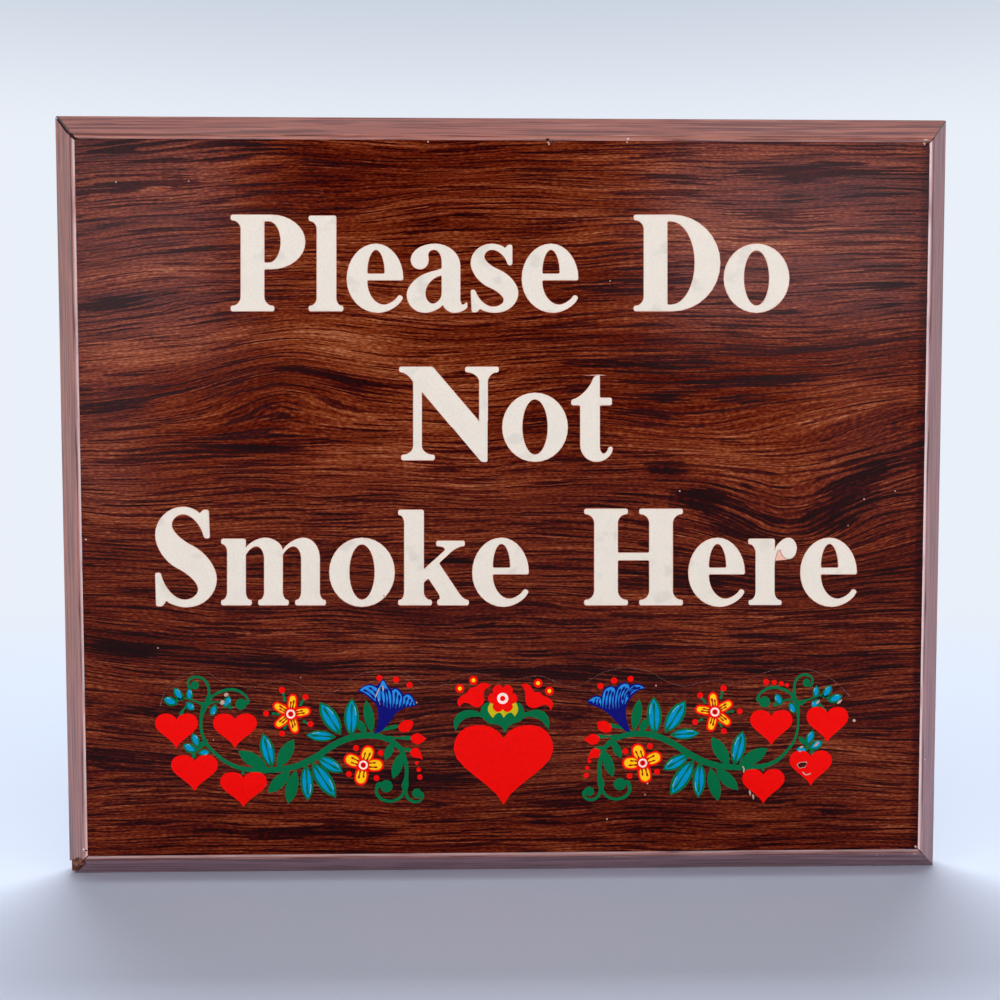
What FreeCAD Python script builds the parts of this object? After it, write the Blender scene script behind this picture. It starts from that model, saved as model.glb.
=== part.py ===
"""Wall plaque: a wooden board with sloping edges, faced with a printed woodgrain sheet and
edged with four folded, mitred laminate strips, with a keyhole slot in its back.

Millimetres. X runs to the viewer's right, Z up, and the front faces -Y. The origin is the
middle of the back, which lies against the wall in the plane Y = 0.
"""

import FreeCAD, Part
import math
import os

import Sketcher

Vector = FreeCAD.Vector

SIZES = [
    ("plaque_width", 177.8, "overall width, 7 in"),
    ("plaque_height", 152.4, "overall height, 6 in"),
    ("plaque_thickness", 12.7, "back to face, 1/2 in"),
    ("bevel_width", 6.35, "border seen from the front, from the side to the face sheet, 1/4 in"),
    ("bevel_depth", 8.6, "how far the border falls back behind the face"),
    ("face_lip", 0.8, "flat rim of each edge strip beside the face sheet"),
    ("laminate_thickness", 0.4, "edge strips"),
    ("sheet_thickness", 0.3, "face sheet, whose front lies a little behind the strips' rims"),
    ("fold_radius", 1.6, "outside of a strip's fold between side and bevel"),
    ("arris_radius", 1.1, "outside of a strip's fold between bevel and face"),
    ("corner_radius", 0.9, "wear on the plaque's outer corners"),
    ("bare_corner_radius", 0.8, "wear on the board's lower left corner, which has lost its laminate"),
    ("crack_outer_gap", 0.3, "open mitre at the top left, at the outer corner"),
    ("crack_wide_place", 4.1, "open mitre: how far in from the side it is widest"),
    ("crack_wide_gap", 0.65, "open mitre where it is widest"),
    ("crack_inner_gap", 0.12, "open mitre beside the face sheet"),
    ("break_left_foot", 2.5, "left strip's broken end above the bottom, at the side"),
    ("break_left_place", 3.6, "how far in from the side the left strip is shortest"),
    ("break_left_rise", 5.2, "left strip's broken end above the bottom, at that place"),
    ("break_bottom_foot", 1.2, "bottom strip's broken end from the side, at the bottom"),
    ("break_bottom_place", 4.0, "how far up from the bottom the bottom strip is shortest"),
    ("break_bottom_reach", 5.4, "bottom strip's broken end from the side, at that place"),
    ("break_tip", 5.8, "where the break runs out along the mitre"),
    ("nick_offset", 9.3, "nick in the face sheet's top edge, right of the middle"),
    ("nick_width", 1.1, "nick along the edge"),
    ("nick_depth", 0.8, "nick into the sheet"),
    ("chip_top_right_width", 1.4, "face sheet's chipped corner, along its top edge"),
    ("chip_top_right_drop", 1.0, "face sheet's chipped corner, down its right edge"),
    ("chip_top_left_width", 0.7, "face sheet's chipped corner, along its top edge"),
    ("chip_top_left_drop", 0.5, "face sheet's chipped corner, down its left edge"),
    ("chip_bottom_right_width", 0.5, "face sheet's chipped corner, along its bottom edge"),
    ("chip_bottom_right_rise", 0.6, "face sheet's chipped corner, up its right edge"),
    ("keyhole_head_diameter", 9.5, "entry hole and undercut, for the screw's head"),
    ("keyhole_neck_width", 4.8, "slot for the screw's shank"),
    ("keyhole_lip_depth", 3.2, "wood between the screw's head and the wall"),
    ("keyhole_undercut_depth", 4.8, "room for the screw's head"),
    ("keyhole_travel", 12.0, "entry hole's middle to the shank's seat"),
    ("keyhole_seat_drop", 22.0, "shank's seat below the plaque's top"),
]

# Distances across a strip's section. The slope runs from the side to the flat lip.
SLOPE_RUN = "(sizes.bevel_width - sizes.face_lip)"
SLANT = f"sqrt({SLOPE_RUN}^2 + sizes.bevel_depth^2)"
INNER_FOLD_DEPTH = (
    "(sizes.bevel_depth + sizes.laminate_thickness"
    f" * ({SLANT} - sizes.bevel_depth) / {SLOPE_RUN})"
)
INNER_ARRIS_INSET = (
    f"({SLOPE_RUN} + sizes.laminate_thickness * ({SLANT} - {SLOPE_RUN}) / sizes.bevel_depth)"
)
HALF_WIDTH = "(sizes.plaque_width / 2)"
HALF_HEIGHT = "(sizes.plaque_height / 2)"
BOARD_FRONT = "(sizes.plaque_thickness - sizes.laminate_thickness)"

CLEAR = 5.0  # how far a cutting outline runs past the material
SAME_PLACE = 0.01  # two coordinates closer than this are the same


def size_sheet(doc):
    """The driving dimensions, one row each: a name, a number and what it measures."""
    sheet = doc.addObject("Spreadsheet::Sheet", "sizes")
    for row, (name, value, meaning) in enumerate(SIZES, start=1):
        sheet.set(f"A{row}", name)
        sheet.set(f"B{row}", str(value))
        sheet.set(f"C{row}", meaning)
        sheet.setAlias(f"B{row}", name)
    doc.recompute()


def new_body(doc, label):
    body = doc.addObject("PartDesign::Body", label)
    body.Label = label
    return body


def new_sketch(body, name, role, height=None):
    """A sketch on one of the body's own planes, or at a height above it."""
    plane = next(f for f in body.Origin.OriginFeatures if f.Role == role)
    sketch = body.newObject("Sketcher::SketchObject", name)
    sketch.AttachmentSupport = [(plane, "")]
    sketch.MapMode = "FlatFace"
    if height:
        sketch.setExpression("AttachmentOffset.Base.z", height)
    return sketch


def value_of(item, formula):
    return float(item.evalExpression(formula))


def hold(sketch, kind, item, point, formula):
    """Holds one coordinate of a sketch point at a formula's value."""
    distance = Sketcher.Constraint(kind, -1, 1, item, point, value_of(sketch, formula))
    number = sketch.addConstraint(distance)
    sketch.setExpression(f"Constraints[{number}]", formula)


def side_of_outline(here, there, centre):
    """A straight side, or an arc that runs anticlockwise about its centre."""
    if centre is None:
        return Part.LineSegment(Vector(*here, 0), Vector(*there, 0))
    circle = Part.Circle(Vector(*centre, 0), Vector(0, 0, 1), math.dist(here, centre))
    start = math.atan2(here[1] - centre[1], here[0] - centre[0])
    stop = math.atan2(there[1] - centre[1], there[0] - centre[0])
    return Part.ArcOfCircle(circle, start, stop)


def outline(sketch, corners):
    """A closed outline through corners (x, y), each a formula on the sheet. A corner written
    (x, y, cx, cy) starts an arc that runs anticlockwise about (cx, cy) to the next corner."""
    places = [[value_of(sketch, formula) for formula in corner] for corner in corners]
    first = sketch.GeometryCount
    following = [(i + 1) % len(corners) for i in range(len(corners))]
    for here, after in zip(places, following):
        there = places[after][:2]
        sketch.addGeometry(side_of_outline(here[:2], there, here[2:] or None), False)
    for i, after in enumerate(following):
        sketch.addConstraint(Sketcher.Constraint("Coincident", first + i, 2, first + after, 1))
    for i, corner in enumerate(corners):
        centre = places[i - 1][2:]
        settled = None  # the coordinate that the arc before this corner already settles
        if centre:
            across, along = (abs(places[i][k] - centre[k]) for k in (0, 1))
            settled = "DistanceX" if across > along else "DistanceY"
        for kind, formula in zip(("DistanceX", "DistanceY"), corner):
            if kind != settled:
                hold(sketch, kind, first + i, 1, formula)
        for kind, formula in zip(("DistanceX", "DistanceY"), corner[2:]):
            hold(sketch, kind, first + i, 3, formula)


def rectangle(sketch, half_width, half_height):
    left, low = f"-({half_width})", f"-({half_height})"
    corners = [(left, low), (half_width, low), (half_width, half_height), (left, half_height)]
    outline(sketch, corners)


def disc(sketch, x, y, diameter):
    centre = Vector(value_of(sketch, x), value_of(sketch, y), 0)
    across = value_of(sketch, diameter)
    item = sketch.addGeometry(Part.Circle(centre, Vector(0, 0, 1), across / 2), False)
    hold(sketch, "DistanceX", item, 3, x)
    hold(sketch, "DistanceY", item, 3, y)
    number = sketch.addConstraint(Sketcher.Constraint("Diameter", item, across))
    sketch.setExpression(f"Constraints[{number}]", diameter)


def pad(body, sketch, length, symmetric=False):
    feature = body.newObject("PartDesign::Pad", sketch.Name + "Pad")
    feature.Profile = sketch
    feature.setExpression("Length", length)
    if symmetric:
        feature.SideType = "Symmetric"
    body.Document.recompute()


def pocket(body, sketch, length=None):
    """Cuts the outline out to a depth towards the front, or right through where none is given."""
    volume = body.Shape.Volume
    feature = body.newObject("PartDesign::Pocket", sketch.Name + "Pocket")
    feature.Profile = sketch
    if length:
        feature.setExpression("Length", length)
        feature.Reversed = True
    else:
        feature.Type = "ThroughAll"
        feature.SideType = "Symmetric"
    body.Document.recompute()
    if not body.Shape.Volume < volume:
        raise RuntimeError(f"{sketch.Name} in {body.Label} cuts nothing away")


def dress_up(body, kind, name, chosen):
    """A fillet or chamfer on the last feature's edges whose ends all lie where chosen says."""
    last = body.Tip
    edges = [
        f"Edge{number}"
        for number, edge in enumerate(last.Shape.Edges, start=1)
        if all(chosen(vertex.Point) for vertex in edge.Vertexes)
    ]
    if not edges:
        raise RuntimeError(f"{name} in {body.Label} finds no edge")
    feature = body.newObject(kind, name)
    feature.Base = (last, edges)
    return feature


def round_off(body, name, chosen, radius):
    fillet = dress_up(body, "PartDesign::Fillet", name, chosen)
    fillet.setExpression("Radius", radius)
    body.Document.recompute()


def near(value, target):
    return abs(value - target) < SAME_PLACE


def corner_waste(side_x, side_z, half_width, half_height, radius):
    """What lies outside a rounded corner: a square region less the quarter disc."""
    centre = (f"{side_x} * ({half_width} - {radius})", f"{side_z} * ({half_height} - {radius})")
    beyond = (f"{side_x} * ({half_width} + {CLEAR})", f"{side_z} * ({half_height} + {CLEAR})")
    by_side = [(f"{side_x} * ({half_width})", centre[1]), (beyond[0], centre[1])]
    by_end = [(centre[0], f"{side_z} * ({half_height})"), (centre[0], beyond[1])]
    start, stop = (by_side, by_end) if side_x == side_z else (by_end, by_side)
    return [start[0] + centre] + stop + [beyond, start[1]]


def cut_keyhole(body):
    """A round entry hole and a narrower slot rising from it, undercut for the screw's head."""
    seat = f"({HALF_HEIGHT} - sizes.keyhole_seat_drop)"
    entry = f"({seat} - sizes.keyhole_travel)"
    head, neck = "sizes.keyhole_head_diameter", "sizes.keyhole_neck_width"

    def slot(wide):
        right, left = f"{wide} / 2", f"-{wide} / 2"
        return [(left, entry), (right, entry), (right, seat, "0", seat), (left, seat)]

    hole = new_sketch(body, "KeyholeEntry", "XZ_Plane")
    disc(hole, "0", entry, head)
    pocket(body, hole, "sizes.keyhole_lip_depth + sizes.keyhole_undercut_depth")
    neck_slot = new_sketch(body, "KeyholeNeck", "XZ_Plane")
    outline(neck_slot, slot(neck))
    pocket(body, neck_slot, "sizes.keyhole_lip_depth")
    undercut = new_sketch(body, "KeyholeUndercut", "XZ_Plane", "sizes.keyhole_lip_depth")
    outline(undercut, slot(head))
    pocket(body, undercut, "sizes.keyhole_undercut_depth")


def make_board(doc):
    """The wood: a slab with four sloping edges, smaller all round by its laminate."""
    body = new_body(doc, "board")
    half_width = f"({HALF_WIDTH} - sizes.laminate_thickness)"
    half_height = f"({HALF_HEIGHT} - sizes.laminate_thickness)"
    blank = new_sketch(body, "Blank", "XZ_Plane")
    rectangle(blank, half_width, half_height)
    pad(body, blank, BOARD_FRONT)

    front = value_of(blank, f"-{BOARD_FRONT}")
    slope = dress_up(body, "PartDesign::Chamfer", "Slope", lambda p: near(p.y, front))
    slope.ChamferType = "Two distances"
    slope.setExpression("Size", f"{INNER_FOLD_DEPTH} - sizes.laminate_thickness")
    slope.setExpression("Size2", f"{INNER_ARRIS_INSET} - sizes.laminate_thickness")
    doc.recompute()

    fold = value_of(blank, f"-(sizes.plaque_thickness - {INNER_FOLD_DEPTH})")
    fold_radius = "sizes.fold_radius - sizes.laminate_thickness"
    arris_radius = "sizes.arris_radius - sizes.laminate_thickness"
    round_off(body, "FoldRounding", lambda p: near(p.y, fold), fold_radius)
    round_off(body, "ArrisRounding", lambda p: near(p.y, front), arris_radius)

    worn = "(sizes.corner_radius - sizes.laminate_thickness)"
    bare = "sizes.bare_corner_radius"
    corners = new_sketch(body, "WornCorners", "XZ_Plane")
    for side_x, side_z, radius in ((1, 1, worn), (1, -1, worn), (-1, 1, worn), (-1, -1, bare)):
        outline(corners, corner_waste(side_x, side_z, half_width, half_height, radius))
    pocket(body, corners)
    cut_keyhole(body)
    return body


def make_face_sheet(doc):
    """The flat sheet on the front, chipped at three corners and nicked in its top edge."""
    body = new_body(doc, "face_sheet")
    right = f"({HALF_WIDTH} - sizes.bevel_width)"
    top = f"({HALF_HEIGHT} - sizes.bevel_width)"
    sheet = new_sketch(body, "Sheet", "XZ_Plane", BOARD_FRONT)
    rectangle(sheet, right, top)
    pad(body, sheet, "sizes.sheet_thickness")

    damage = new_sketch(body, "Damage", "XZ_Plane")
    chips = (
        (1, 1, "sizes.chip_top_right_width", "sizes.chip_top_right_drop"),
        (-1, 1, "sizes.chip_top_left_width", "sizes.chip_top_left_drop"),
        (1, -1, "sizes.chip_bottom_right_width", "sizes.chip_bottom_right_rise"),
    )
    for side_x, side_z, width, drop in chips:
        x, z = f"{side_x} * {right}", f"{side_z} * {top}"
        inward, lower = f"{side_x} * ({right} - {width})", f"{side_z} * ({top} - {drop})"
        beyond_x, beyond_z = f"{x} + {side_x * CLEAR}", f"{z} + {side_z * CLEAR}"
        ends = [(beyond_x, lower), (beyond_x, beyond_z), (inward, beyond_z)]
        outline(damage, [(inward, z), (x, lower)] + ends)
    nick_left = "(sizes.nick_offset - sizes.nick_width / 2)"
    nick_right = "(sizes.nick_offset + sizes.nick_width / 2)"
    point = ("sizes.nick_offset", f"{top} - sizes.nick_depth")
    above = f"{top} + {CLEAR}"
    outline(damage, [(nick_left, top), point, (nick_right, top), (nick_right, above), (nick_left, above)])
    pocket(body, damage)
    return body


def mitre(radius="sizes.corner_radius"):
    """A whole 45 degree end, rounded where it meets the plaque's outer corner."""
    on_mitre = f"({radius} * (1 - sqrt(2) / 2))"
    return {"stations": [("0", radius), (on_mitre, on_mitre)], "round": radius}


def ragged_end(*stations):
    """An end through stations (inset from the side, setback from the plaque's corner)."""
    return {"stations": list(stations), "round": None}


def cut_end(body, name, side, span, reach, end):
    """Trims one end of a strip along its stations, and then along the mitre."""
    past_bevel = f"(sizes.bevel_width + {CLEAR})"
    half = f"({span} / 2)"

    def place(inset, setback):
        return (f"{side} * ({half} - ({setback}))", f"{reach} - {inset}")

    stations = [place(inset, setback) for inset, setback in end["stations"]]
    start = (stations[0][0], f"{reach} + {CLEAR}")
    inner = place(past_bevel, past_bevel)
    far_x = f"{side} * ({half} + {CLEAR})"
    corners = [start] + stations + [inner, (far_x, inner[1]), (far_x, start[1])]
    if side > 0:
        corners.reverse()
    if end["round"]:
        arc_start = stations[0] if side < 0 else stations[1]
        centre = place(end["round"], end["round"])
        corners[corners.index(arc_start)] += centre
    sketch = new_sketch(body, name, "XZ_Plane")
    outline(sketch, corners)
    pocket(body, sketch)


def make_edge_strip(doc, label, quarter_turns, span, reach, first_end, last_end):
    """A laminate strip folded over one side of the board and up its bevel to the face. It is
    laid out along X on the top side, then turned clockwise, seen from the front, to its own."""
    body = new_body(doc, label)
    section = new_sketch(body, "Section", "YZ_Plane")
    fold = ("-(sizes.plaque_thickness - sizes.bevel_depth)", reach)
    arris = ("-sizes.plaque_thickness", f"{reach} - {SLOPE_RUN}")
    inner_arris = (f"-{BOARD_FRONT}", f"{reach} - {INNER_ARRIS_INSET}")
    inner_side = f"{reach} - sizes.laminate_thickness"
    inner_fold = (f"-(sizes.plaque_thickness - {INNER_FOLD_DEPTH})", inner_side)
    rim = f"{reach} - sizes.bevel_width"
    lip = [("-sizes.plaque_thickness", rim), (f"-{BOARD_FRONT}", rim)]
    ends = [("0", inner_side), ("0", reach)]
    outline(section, ends + [fold, arris] + lip + [inner_arris, inner_fold])
    pad(body, section, span, symmetric=True)

    bends = (
        ("FoldOutside", fold, "sizes.fold_radius"),
        ("FoldInside", inner_fold, "sizes.fold_radius - sizes.laminate_thickness"),
        ("ArrisOutside", arris, "sizes.arris_radius"),
        ("ArrisInside", inner_arris, "sizes.arris_radius - sizes.laminate_thickness"),
    )
    for name, corner, radius in bends:
        y, z = (value_of(section, formula) for formula in corner)
        round_off(body, name, lambda p: near(p.y, y) and near(p.z, z), radius)

    cut_end(body, "FirstEnd", -1, span, reach, first_end)
    cut_end(body, "LastEnd", 1, span, reach, last_end)
    turn = FreeCAD.Rotation(Vector(0, 1, 0), 90 * quarter_turns)
    body.Placement = FreeCAD.Placement(Vector(0, 0, 0), turn)
    doc.recompute()
    return body


def make_edge_strips(doc):
    """Four strips, clockwise from the top. The left one's mitre gapes at the top, and at the
    bottom left a piece of both strips is broken away."""
    open_mitre = ragged_end(
        ("0", "sizes.crack_outer_gap"),
        ("sizes.crack_wide_place", "sizes.crack_wide_place + sizes.crack_wide_gap"),
        ("sizes.bevel_width", "sizes.bevel_width + sizes.crack_inner_gap"),
    )
    broken_left = ragged_end(
        ("0", "sizes.break_left_foot"),
        ("sizes.break_left_place", "sizes.break_left_rise"),
        ("sizes.break_tip", "sizes.break_tip"),
    )
    broken_bottom = ragged_end(
        ("0", "sizes.break_bottom_foot"),
        ("sizes.break_bottom_place", "sizes.break_bottom_reach"),
        ("sizes.break_tip", "sizes.break_tip"),
    )
    across = ("sizes.plaque_width", HALF_HEIGHT)
    upright = ("sizes.plaque_height", HALF_WIDTH)
    return [
        make_edge_strip(doc, "edge_strip_top", 0, *across, mitre(), mitre()),
        make_edge_strip(doc, "edge_strip_right", 1, *upright, mitre(), mitre()),
        make_edge_strip(doc, "edge_strip_bottom", 2, *across, mitre(), broken_bottom),
        make_edge_strip(doc, "edge_strip_left", 3, *upright, broken_left, open_mitre),
    ]


def check(doc, pieces):
    """Stops before anything is written if a feature failed or a piece isn't one sound solid."""
    for item in doc.Objects:
        if {"Invalid", "Error"} & set(item.State):
            raise RuntimeError(f"{item.Name} in the document failed: {item.State}")
    for piece in pieces:
        shape = piece.Shape
        if shape.isNull() or not shape.isValid() or len(shape.Solids) != 1:
            raise RuntimeError(f"{piece.Label} isn't one valid solid")


def main():
    doc = FreeCAD.newDocument("wall_plaque")
    size_sheet(doc)
    pieces = [make_board(doc), make_face_sheet(doc)] + make_edge_strips(doc)
    doc.recompute()
    check(doc, pieces)
    os.makedirs("parts", exist_ok=True)
    for piece in pieces:
        piece.Shape.exportStep(f"parts/{piece.Label}.step")
        print(f"{piece.Label}: {piece.Shape.Volume / 1000:.3f} cm3")


main()
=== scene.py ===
import math

import bmesh
import bpy
from mathutils import Matrix, Vector


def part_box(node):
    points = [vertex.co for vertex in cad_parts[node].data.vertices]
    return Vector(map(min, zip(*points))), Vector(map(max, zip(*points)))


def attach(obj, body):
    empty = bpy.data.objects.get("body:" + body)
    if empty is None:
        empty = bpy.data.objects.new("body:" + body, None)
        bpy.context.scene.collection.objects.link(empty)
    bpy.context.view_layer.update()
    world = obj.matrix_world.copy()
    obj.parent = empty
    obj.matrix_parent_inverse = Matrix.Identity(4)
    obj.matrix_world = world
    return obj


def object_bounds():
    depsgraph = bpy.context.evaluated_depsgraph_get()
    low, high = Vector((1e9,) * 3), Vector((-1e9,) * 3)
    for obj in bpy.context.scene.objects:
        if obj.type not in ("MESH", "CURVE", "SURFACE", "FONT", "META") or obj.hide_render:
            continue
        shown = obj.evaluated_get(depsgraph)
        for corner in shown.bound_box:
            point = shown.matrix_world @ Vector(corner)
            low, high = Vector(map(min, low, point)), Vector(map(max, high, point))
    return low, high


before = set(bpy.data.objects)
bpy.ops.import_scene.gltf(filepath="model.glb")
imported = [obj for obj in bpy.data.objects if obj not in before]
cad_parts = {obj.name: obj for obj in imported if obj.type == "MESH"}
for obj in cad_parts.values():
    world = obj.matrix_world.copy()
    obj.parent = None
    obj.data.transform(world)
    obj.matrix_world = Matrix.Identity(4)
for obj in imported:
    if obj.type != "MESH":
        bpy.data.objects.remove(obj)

bl_info = {
    "name": "No Smoking Plaque",
    "version": (1, 0, 0),
    "blender": (4, 5, 0),
    "location": "View3D > Sidebar > Plaque",
    "description": "Finishes, lettering and printed ornament for a woodgrain wall plaque",
    "category": "Object",
}

MM = 0.001
CAD_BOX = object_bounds()
FACE_LOW, FACE_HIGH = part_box("face_sheet")
FACE_FRONT = FACE_LOW.y
FACE_HALF_WIDTH = FACE_HIGH.x
FACE_HALF_HEIGHT = FACE_HIGH.z
PLAQUE_HALF_WIDTH = CAD_BOX[1].x
PLAQUE_HALF_HEIGHT = CAD_BOX[1].z
UNDERSIDE = CAD_BOX[0].z
MERGE = 0.0001 * MM  # points that are closer than this become one
STAGGER = 0.008 * MM  # keeps shapes of one colour that overlap from lying at the same level
STRIP_SIDES = ("top", "right", "bottom", "left")

# The picture is square. How the plaque stands before the camera is in degrees, and the camera's
# place is measured from the middle of the plaque's outer edge.
PICTURE_PIXELS = 1000
SENSOR_WIDTH = 36.0
FOCAL_PIXELS = 1264
LEANS_BACK = 3.08
TURNED = 1.34
TILTED = 0.12
OUTER_EDGE_DEPTH = 4.1 * MM
PLAQUE_SEEN_AT = Vector((0.92, 0.10, -256.1)) * MM
PIXEL = 0.196  # millimetres on the face


def written(red, green, blue):
    """A colour given as 0 to 255 on a screen, in the linear values that shaders use."""

    def linear(level):
        share = level / 255
        return share / 12.92 if share <= 0.04045 else ((share + 0.055) / 1.055) ** 2.4

    return linear(red), linear(green), linear(blue)


def opaque(colour):
    """The colour with the fourth number that nodes want."""
    return (*colour, 1.0)


def colour_setting(name, description, red, green, blue):
    """A colour that a user can change. Its default is given as it shows on a screen."""
    return bpy.props.FloatVectorProperty(
        name=name,
        description=description,
        subtype="COLOR",
        default=written(red, green, blue),
        min=0,
        max=1,
    )


def number_setting(name, description, default, **kind):
    """A number that a user can change, with its unit or its limits."""
    return bpy.props.FloatProperty(name=name, description=description, default=default, **kind)


def share_setting(name, description, default):
    """A number between 0 and 1 that a user can change."""
    return number_setting(name, description, default, min=0, max=1, subtype="FACTOR")


def length_setting(name, description, default):
    """A length that a user can change. It can be as small as the thickness of print."""
    return number_setting(name, description, default, precision=6, unit="LENGTH")


def add_object(name, data):
    """An object in the scene, made from a mesh, curve, lamp or camera."""
    made = bpy.data.objects.new(name, data)
    bpy.context.scene.collection.objects.link(made)
    return made


# The camera

def camera_matrix():
    """Where the camera is and how it looks, in the plaque's own frame."""
    turns = (
        Matrix.Rotation(math.radians(TILTED), 4, "Z")
        @ Matrix.Rotation(math.radians(TURNED), 4, "Y")
        @ Matrix.Rotation(math.radians(LEANS_BACK), 4, "X")
    )
    upright = Matrix.Rotation(math.radians(-90), 4, "X")
    centred = Matrix.Translation((0, OUTER_EDGE_DEPTH, 0))
    seen = Matrix.Translation(PLAQUE_SEEN_AT) @ turns @ upright @ centred
    return seen.inverted()


CAMERA = camera_matrix()


def on_face(x, y):
    """The place on the face sheet that shows at a pixel of the picture, as (X, Z)."""
    middle = PICTURE_PIXELS / 2
    ray = Vector(((x - middle) / FOCAL_PIXELS, (middle - y) / FOCAL_PIXELS, -1))
    ray = CAMERA.to_3x3() @ ray
    start = CAMERA.translation
    place = start + ray * (FACE_FRONT - start.y) / ray.y
    return place.x, place.z


# Flat outlines

TIP = True
SWING = 0.5523  # how far the handles of a quarter round reach towards its corner
CORNER = math.radians(30)  # a sharper turn than this is a corner


def drawn(entries, rounding=0.0):
    """The knots of a closed outline. Each entry is the next point, reached straight as (x, y),
    by a quarter round that swings towards a corner as (corner x, corner y, x, y), or by a
    curve with two handles as six numbers. Sharp corners are rounded off."""
    sides = []
    for i, entry in enumerate(entries):
        start, end = Vector(entries[i - 1][-2:]), Vector(entry[-2:])
        if len(entry) == 6:
            handles = Vector(entry[:2]), Vector(entry[2:4])
        elif len(entry) == 4:
            corner = Vector(entry[:2])
            handles = start.lerp(corner, SWING), end.lerp(corner, SWING)
        else:
            handles = None
        sides.append((start, handles, end))
    knots = []
    for i, (start, handles, here) in enumerate(sides):
        _, next_handles, end = sides[(i + 1) % len(sides)]
        before = handles[1] if handles else start
        after = next_handles[0] if next_handles else end
        arriving, leaving = (here - before).normalized(), (after - here).normalized()
        if rounding and arriving.angle(leaving) > CORNER:
            first, last = here - arriving * rounding, here + leaving * rounding
            towards, away = first.lerp(here, SWING), last.lerp(here, SWING)
            knots.append((first, before if handles else first, towards))
            knots.append((last, away, after if next_handles else last))
        else:
            knots.append((here, before if handles else here, after if next_handles else here))
    return knots


def oval(left, low, right, high):
    """The entries of an oval that fills a box."""
    x, y = (left + right) / 2, (low + high) / 2
    return [
        (left, high, x, high),
        (right, high, right, y),
        (right, low, x, low),
        (left, low, left, y),
    ]


def circle(x, y, radius):
    return drawn(oval(x - radius, y - radius, x + radius, y + radius))


def flowing(points):
    """The knots of a closed outline that runs smoothly through its points, with sharp ones
    marked TIP."""
    return [(Vector(point[:2]), None, len(point) > 2) for point in points]


def stroke(points):
    """The outline of a painted line through (x, y, width) points."""
    left, right = [], []
    for i, (x, y, width) in enumerate(points):
        before, after = points[max(i - 1, 0)], points[min(i + 1, len(points) - 1)]
        along = Vector((after[0] - before[0], after[1] - before[1])).normalized()
        across = along.orthogonal() * width / 2
        left.append(Vector((x, y)) + across)
        right.append(Vector((x, y)) - across)
    return flowing(left + right[::-1])


def line(width, *points):
    """A painted line of one width. A straight one gets a middle, so that it doesn't swell."""
    if len(points) == 2:
        points = (points[0], tuple((a + b) / 2 for a, b in zip(*points)), points[1])
    return stroke([(x, y, width) for x, y in points])


def add_outline(curve, knots, place):
    """Adds one closed outline to a flat curve. A place function gives each point's spot."""
    spline = curve.splines.new("BEZIER")
    spline.bezier_points.add(len(knots) - 1)
    spline.use_cyclic_u = True
    for point, (here, before, after) in zip(spline.bezier_points, knots):
        point.co.xy = place(*here)
        if before is None:
            kind = "VECTOR" if after else "AUTO"
            point.handle_left_type = point.handle_right_type = kind
        else:
            point.handle_left_type = point.handle_right_type = "FREE"
            point.handle_left.xy = place(*before)
            point.handle_right.xy = place(*after)


def plate(knots_of_outlines, level, place, rim, steps, spread):
    """A flat plate lying on the face sheet, as a mesh. Outlines inside others are holes. It can
    spread beyond its outlines."""
    curve = bpy.data.curves.new("outline", "CURVE")
    curve.dimensions = "2D"
    curve.fill_mode = "BOTH"
    curve.resolution_u = steps
    curve.extrude = level / 2 - rim
    curve.bevel_depth = rim
    curve.offset = spread - rim
    for knots in knots_of_outlines:
        add_outline(curve, knots, place)
    item = add_object("outline", curve)
    shape = item.evaluated_get(bpy.context.evaluated_depsgraph_get())
    mesh = bpy.data.meshes.new_from_object(shape)
    bpy.data.objects.remove(item)
    bpy.data.curves.remove(curve)
    stand = Matrix.Rotation(math.radians(90), 4, "X")
    mesh.transform(Matrix.Translation((0, FACE_FRONT - level / 2, 0)) @ stand)
    return mesh


def print_on_face(name, shapes, level, material, place=on_face, rim=0.0, steps=6, spread=0.0):
    """One printed colour: flat plates on the face sheet, each from its own outlines. The
    level is how far they stand proud, so that a later colour covers an earlier one."""
    joined = bmesh.new()
    for i, shape in enumerate(shapes):
        outlines = shape if isinstance(shape[0], list) else [shape]
        own_level = level - STAGGER * i / len(shapes)
        mesh = plate(outlines, own_level, place, rim, steps, spread)
        joined.from_mesh(mesh)
        bpy.data.meshes.remove(mesh)
    bmesh.ops.remove_doubles(joined, verts=joined.verts, dist=MERGE)
    mesh = bpy.data.meshes.new(name)
    joined.to_mesh(mesh)
    joined.free()
    mesh.materials.append(material)
    piece = add_object(name, mesh)
    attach(piece, "root")
    return piece


# Shader arithmetic

class Value:
    """What a node gives, as something that can be added, multiplied and compared."""

    def __init__(self, finish, socket):
        self.finish = finish
        self.socket = socket

    def maths(self, operation, *numbers):
        sockets = dict(enumerate(numbers))
        return self.finish.node("ShaderNodeMath", {"operation": operation}, sockets)

    def __add__(self, other):
        return self.maths("ADD", self, other)

    def __radd__(self, other):
        return self.maths("ADD", other, self)

    def __sub__(self, other):
        return self.maths("SUBTRACT", self, other)

    def __rsub__(self, other):
        return self.maths("SUBTRACT", other, self)

    def __mul__(self, other):
        return self.maths("MULTIPLY", self, other)

    def __rmul__(self, other):
        return self.maths("MULTIPLY", other, self)

    def __truediv__(self, other):
        return self.maths("DIVIDE", self, other)

    def __rtruediv__(self, other):
        return self.maths("DIVIDE", other, self)

    def size(self):
        return self.maths("ABSOLUTE", self)

    def root(self):
        return self.maths("SQRT", self)

    def least(self, other):
        return self.maths("MINIMUM", self, other)

    def rise(self, low, high):
        """0 below low, 1 above high, and a soft step between. With low above high it falls."""
        settings = {"interpolation_type": "SMOOTHSTEP"}
        sockets = {"Value": self, "From Min": low, "From Max": high}
        return self.finish.node("ShaderNodeMapRange", settings, sockets)


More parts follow.
